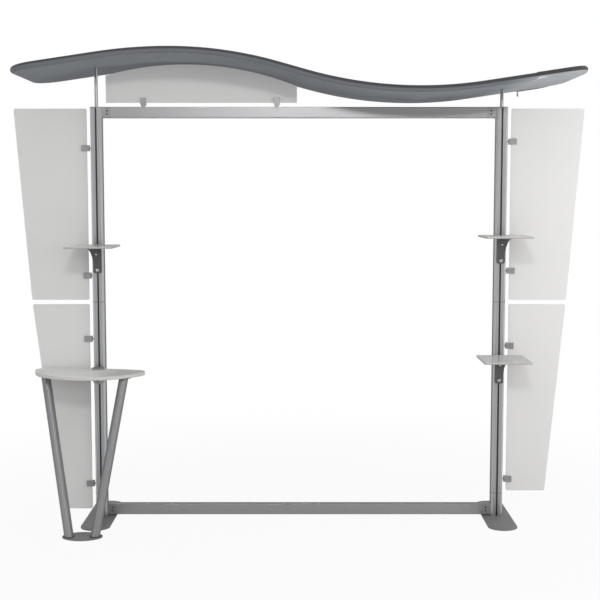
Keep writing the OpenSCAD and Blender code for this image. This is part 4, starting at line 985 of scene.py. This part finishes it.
def post_ring(c, side):
    """Webbing ring sewn round the hole for a canopy post."""
    middle, up, ways = round_post(c, side, 0.0028)
    # (radius, height) round the section of the webbing
    section = [(0.0098, 0.0006), (0.0102, -0.0012), (0.0125, -0.0022), (0.0165, -0.0022),
               (0.0188, -0.0014), (0.0194, 0.0004), (0.0185, 0.0012), (0.0105, 0.0012)]
    bm = bmesh.new()
    loops = [[bm.verts.new(middle + out * r + up * h) for r, h in section]
             for out, _ in ways[:-1]]
    for a, b in zip(loops, loops[1:] + loops[:1]):
        for p, q, u, w in zip(a, a[1:] + a[:1], b[1:] + b[:1], b):
            bm.faces.new((p, q, u, w))
    return from_bmesh(bm, "canopy_post_ring_" + ("left" if side < 0 else "right"), "ring")


# Stage


class DISPLAY_OT_stage(bpy.types.Operator):
    """Set up the floor, the soft light and the camera"""

    bl_idname = "display.stage"
    bl_label = "Stage"

    def execute(self, context):
        s = settings().stage
        scene = context.scene
        scene.view_settings.view_transform = "Standard"
        cam = placed("camera", bpy.data.cameras.new("camera"))
        cam.data.lens = s.lens
        cam.data.sensor_width = 36.0
        cam.location = (s.eye_x, s.eye_y, s.eye_z)
        cam.rotation_euler = (math.pi / 2 - s.tilt, 0, 0)
        scene.camera = cam
        self.floor(s)
        self.world(scene, s)
        white = (1.0, 1.0, 1.0)
        for name, place, aim, size, power, colour, mirrored in (
                ("key_light", (0.0, -6.0, 4.05), (0.0, 0.0, 1.4), (0.7, 0.5), s.key, white, True),
                ("right_light", (4.2, -3.8, 1.8), (0.2, 0.0, 1.3), (2.6, 2.4), s.warm,
                 (1.0, 0.975, 0.945), True),
                ("left_light", (-4.2, -3.8, 1.1), (-0.2, 0.0, 0.9), (2.6, 2.4), s.cool,
                 (0.95, 0.98, 1.0), True),
                ("low_light", (0.3, -2.6, 0.1), (0.0, 0.3, 2.3), (4.2, 1.0), s.low, white, False),
                ("side_light", (3.0, -1.3, 1.5), (0.9, 0.0, 2.2), (1.0, 0.8), s.side, white,
                 False)):
            data = bpy.data.lights.new(name, "AREA")
            data.shape = "RECTANGLE"
            data.size, data.size_y = size
            data.energy = power
            data.color = colour
            lamp = placed(name, data)
            lamp.location = place
            way = Vector(aim) - Vector(place)
            lamp.rotation_euler = way.to_track_quat("-Z", "Y").to_euler()
            lamp.visible_glossy = mirrored
        return {"FINISHED"}

    def floor(self, s):
        left, right, front, back, z = -9.0, 9.0, -8.0, 10.0, -0.0005
        mesh = bpy.data.meshes.new("floor")
        mesh.from_pydata([(left, front, z), (right, front, z), (right, back, z),
                          (left, back, z)], [], [(0, 1, 2, 3)])
        floor = placed("floor", mesh)
        fin = Finish("studio_floor", s.floor, roughness=0.8)
        rays = fin.node("ShaderNodeLightPath").outputs
        seen = fin.math("MAXIMUM", rays["Is Camera Ray"], rays["Is Transmission Ray"])
        seen = fin.math("MULTIPLY_ADD", rays["Is Glossy Ray"], 0.06, seen)
        # the floor turns into the white sweep with the distance
        away = fin.node("ShaderNodeVectorMath", {0: fin.place}, operation="LENGTH")
        far = fin.spread(away.outputs["Value"], 1.2, 3.6, 0.93, 1.0, smooth=True)
        share = fin.node("ShaderNodeMath", {0: seen, 1: far}, operation="MULTIPLY",
                         use_clamp=True)
        mix = fin.node("ShaderNodeMixShader",
                       {0: share, 1: fin.bsdf, 2: fin.node("ShaderNodeEmission")})
        fin.feed(fin.tree.nodes["Material Output"].inputs["Surface"], mix)
        mesh.materials.append(fin.mat)

    def world(self, scene, s):
        world = bpy.data.worlds.new("studio")
        scene.world = world
        world.use_nodes = True
        graph = Graph(world.node_tree)
        back = graph.tree.nodes["Background"].inputs
        back["Color"].default_value = (1, 1, 1, 1)
        rays = graph.node("ShaderNodeLightPath").outputs
        part = graph.split(graph.node("ShaderNodeTexCoord").outputs["Generated"])
        # the white sweep stands behind the display, the dimmer studio in front of it
        dim = graph.spread(part["Z"], 0.0, 0.09, s.studio * 0.85, s.studio * 0.22)
        # mirrored in metal, the sweep is dimmer than seen through acrylic
        behind = graph.math("MULTIPLY_ADD", rays["Is Glossy Ray"], -0.42, 0.9)
        sweep = graph.spread(part["Y"], -0.25, 0.35, dim, behind, smooth=True)
        seen = graph.math("MAXIMUM", rays["Is Glossy Ray"], rays["Is Transmission Ray"])
        strength = s.studio
        for share, light in ((seen, sweep), (rays["Is Camera Ray"], 1.0)):
            strength = graph.node("ShaderNodeMix",
                                  {"Factor": share, "A": strength, "B": light})
        graph.feed(back["Strength"], strength)


# Pieces


class DISPLAY_OT_canopy(bpy.types.Operator):
    """Make the stretched cloth of the canopy"""

    bl_idname = "display.canopy"
    bl_label = "Canopy cloth"

    def execute(self, context):
        s = settings()
        c, z = s.canopy, s.zip
        cloth = canopy_cloth(c, z)
        wall = cloth.modifiers.new("cloth", "SOLIDIFY")
        wall.thickness = c.cloth_t
        wall.offset = -1.0
        applied(cloth)
        tape = zip_tape(c, z)
        coils = repeated("canopy_zip_coils", [coil_place(c, *row) for row in zip_path(c, z)],
                         "coil", (z.pitch, z.coil * 0.45, z.coil, z.coil * 0.42), "coil")
        rings = [post_ring(c, side) for side in (-1, 1)]
        edge = (z.stitch_step, z.stitch, z.stitch_t, z.stitch_t)
        seams = [repeated("edge_stitch", edge_seam(c, side), "stitch", edge, "thread")
                 for side in (-1, 1)]
        ring, radius = (0.0042, 0.003, z.stitch_t, z.stitch_t), 0.0148
        for side in (-1, 1):
            middle, up, ways = round_post(c, side, 0.0006)
            rows = [(middle + out * radius, way, -up) for out, way in ways]
            seams.append(repeated("ring_stitch", rows, "stitch", ring, "thread"))
        thread = joined("canopy_stitches", seams)
        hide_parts("canopy_cover")
        parts = [tape, coils, *rings, thread]
        for obj in [cloth, *parts]:
            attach(obj, body_of("canopy_cover"))
        wave = Wave(c)
        dress("alu_along", "canopy_frame")
        dress("gun", "canopy_saddles")
        dress("zinc", "zip_slider", "zip_pull")
        return {"FINISHED"}


class DISPLAY_OT_frame(bpy.types.Operator):
    """Finish the uprights, crossbars, locks and feet"""

    bl_idname = "display.frame"
    bl_label = "Frame"

    def execute(self, context):
        m = settings().metal
        dress("alu_up", *[f"{part}_{side}" for part in ("base_post", "lower_post", "upper_post")
                          for side in ("left", "right")])
        dress("alu_along", "top_bar_left", "top_bar_right", "bottom_bar_left",
              "bottom_bar_right", "bar_joiners")
        dress("bright", "foot_bolts", "post_joiners", "lock_hooks")
        dress("post", "canopy_post_left", "canopy_post_right")
        dress("lock", *[n for n in frame["nodes"] if n.startswith("lock_") and n != "lock_hooks"])
        for side in ("left", "right"):
            softened(f"foot_{side}", f"foot_plate_{side}", "coat", m.arris * 2)
        softened("end_blocks", "bar_end_blocks", "cast", m.arris)
        softened("upright_caps", "post_caps", "cast", m.arris)
        return {"FINISHED"}


class DISPLAY_OT_panels(bpy.types.Operator):
    """Finish the header, the side panels and their clamps"""

    bl_idname = "display.panels"
    bl_label = "Panels"

    def execute(self, context):
        s = settings()
        names = [f"wing_{level}_{side}" for level in ("upper", "lower")
                 for side in ("left", "right")]
        for node in ["header_panel", *names]:
            softened(node + "_sheet", node, "panel", s.acrylic.arris)
        softened("header_grips", "header_clamps", "cast", s.metal.arris)
        softened("wing_grips", "wing_clamps", "cast", s.metal.arris)
        return {"FINISHED"}


class DISPLAY_OT_shelves(bpy.types.Operator):
    """Finish the shelves and their brackets"""

    bl_idname = "display.shelves"
    bl_label = "Shelves"

    def execute(self, context):
        s = settings()
        for place in ("left", "right", "low"):
            softened(f"shelf_{place}_sheet", f"shelf_{place}", f"shelf_{place}",
                     s.acrylic.shelf_arris, 3)
            softened(f"bracket_{place}_casting", f"bracket_{place}", "gun", s.metal.cast_round, 3)
            dress("bright", f"clamp_screw_{place}", f"shelf_fixings_{place}")
        return {"FINISHED"}


class DISPLAY_OT_counter(bpy.types.Operator):
    """Finish the counter, its legs and its base"""

    bl_idname = "display.counter"
    bl_label = "Counter"

    def execute(self, context):
        s = settings()
        softened("counter_slab", "counter_top", "counter", s.acrylic.counter_arris, 4)
        softened("counter_block", "counter_hub", "alu_part", s.metal.arris)
        softened("counter_foot", "counter_base", "coat", s.metal.plate_round)
        softened("leg_plates", "leg_flanges", "gun", s.metal.arris)
        dress("alu_leg", "counter_leg_left", "counter_leg_right")
        dress("cast", "counter_fixings")
        return {"FINISHED"}


STEPS = ("stage", "frame", "canopy", "panels", "shelves", "counter")


class DISPLAY_PT_panel(bpy.types.Panel):
    """Sizes, colours and steps of the display"""

    bl_label = "Show display"
    bl_idname = "DISPLAY_PT_panel"
    bl_space_type = "VIEW_3D"
    bl_region_type = "UI"
    bl_category = "Display"

    def draw(self, context):
        group = settings()
        for key in ("canopy", "zip", "metal", "acrylic", "stage"):
            box = self.layout.box()
            box.label(text=key.capitalize())
            part = getattr(group, key)
            for name in part.__annotations__:
                box.prop(part, name)
        for step in STEPS:
            self.layout.operator("display." + step)


CLASSES = (DISPLAY_PG_canopy, DISPLAY_PG_zip, DISPLAY_PG_metal, DISPLAY_PG_acrylic,
           DISPLAY_PG_stage, DISPLAY_PG_settings, DISPLAY_OT_stage, DISPLAY_OT_frame,
           DISPLAY_OT_canopy, DISPLAY_OT_panels, DISPLAY_OT_shelves, DISPLAY_OT_counter,
           DISPLAY_PT_panel)


def register():
    for cls in CLASSES:
        bpy.utils.register_class(cls)
    bpy.types.Scene.show_display = PointerProperty(type=DISPLAY_PG_settings)


def unregister():
    del bpy.types.Scene.show_display
    for cls in reversed(CLASSES):
        bpy.utils.unregister_class(cls)


def main():
    register()
    for step in STEPS:
        getattr(bpy.ops.display, step)()


if __name__ == "__main__":
    main()
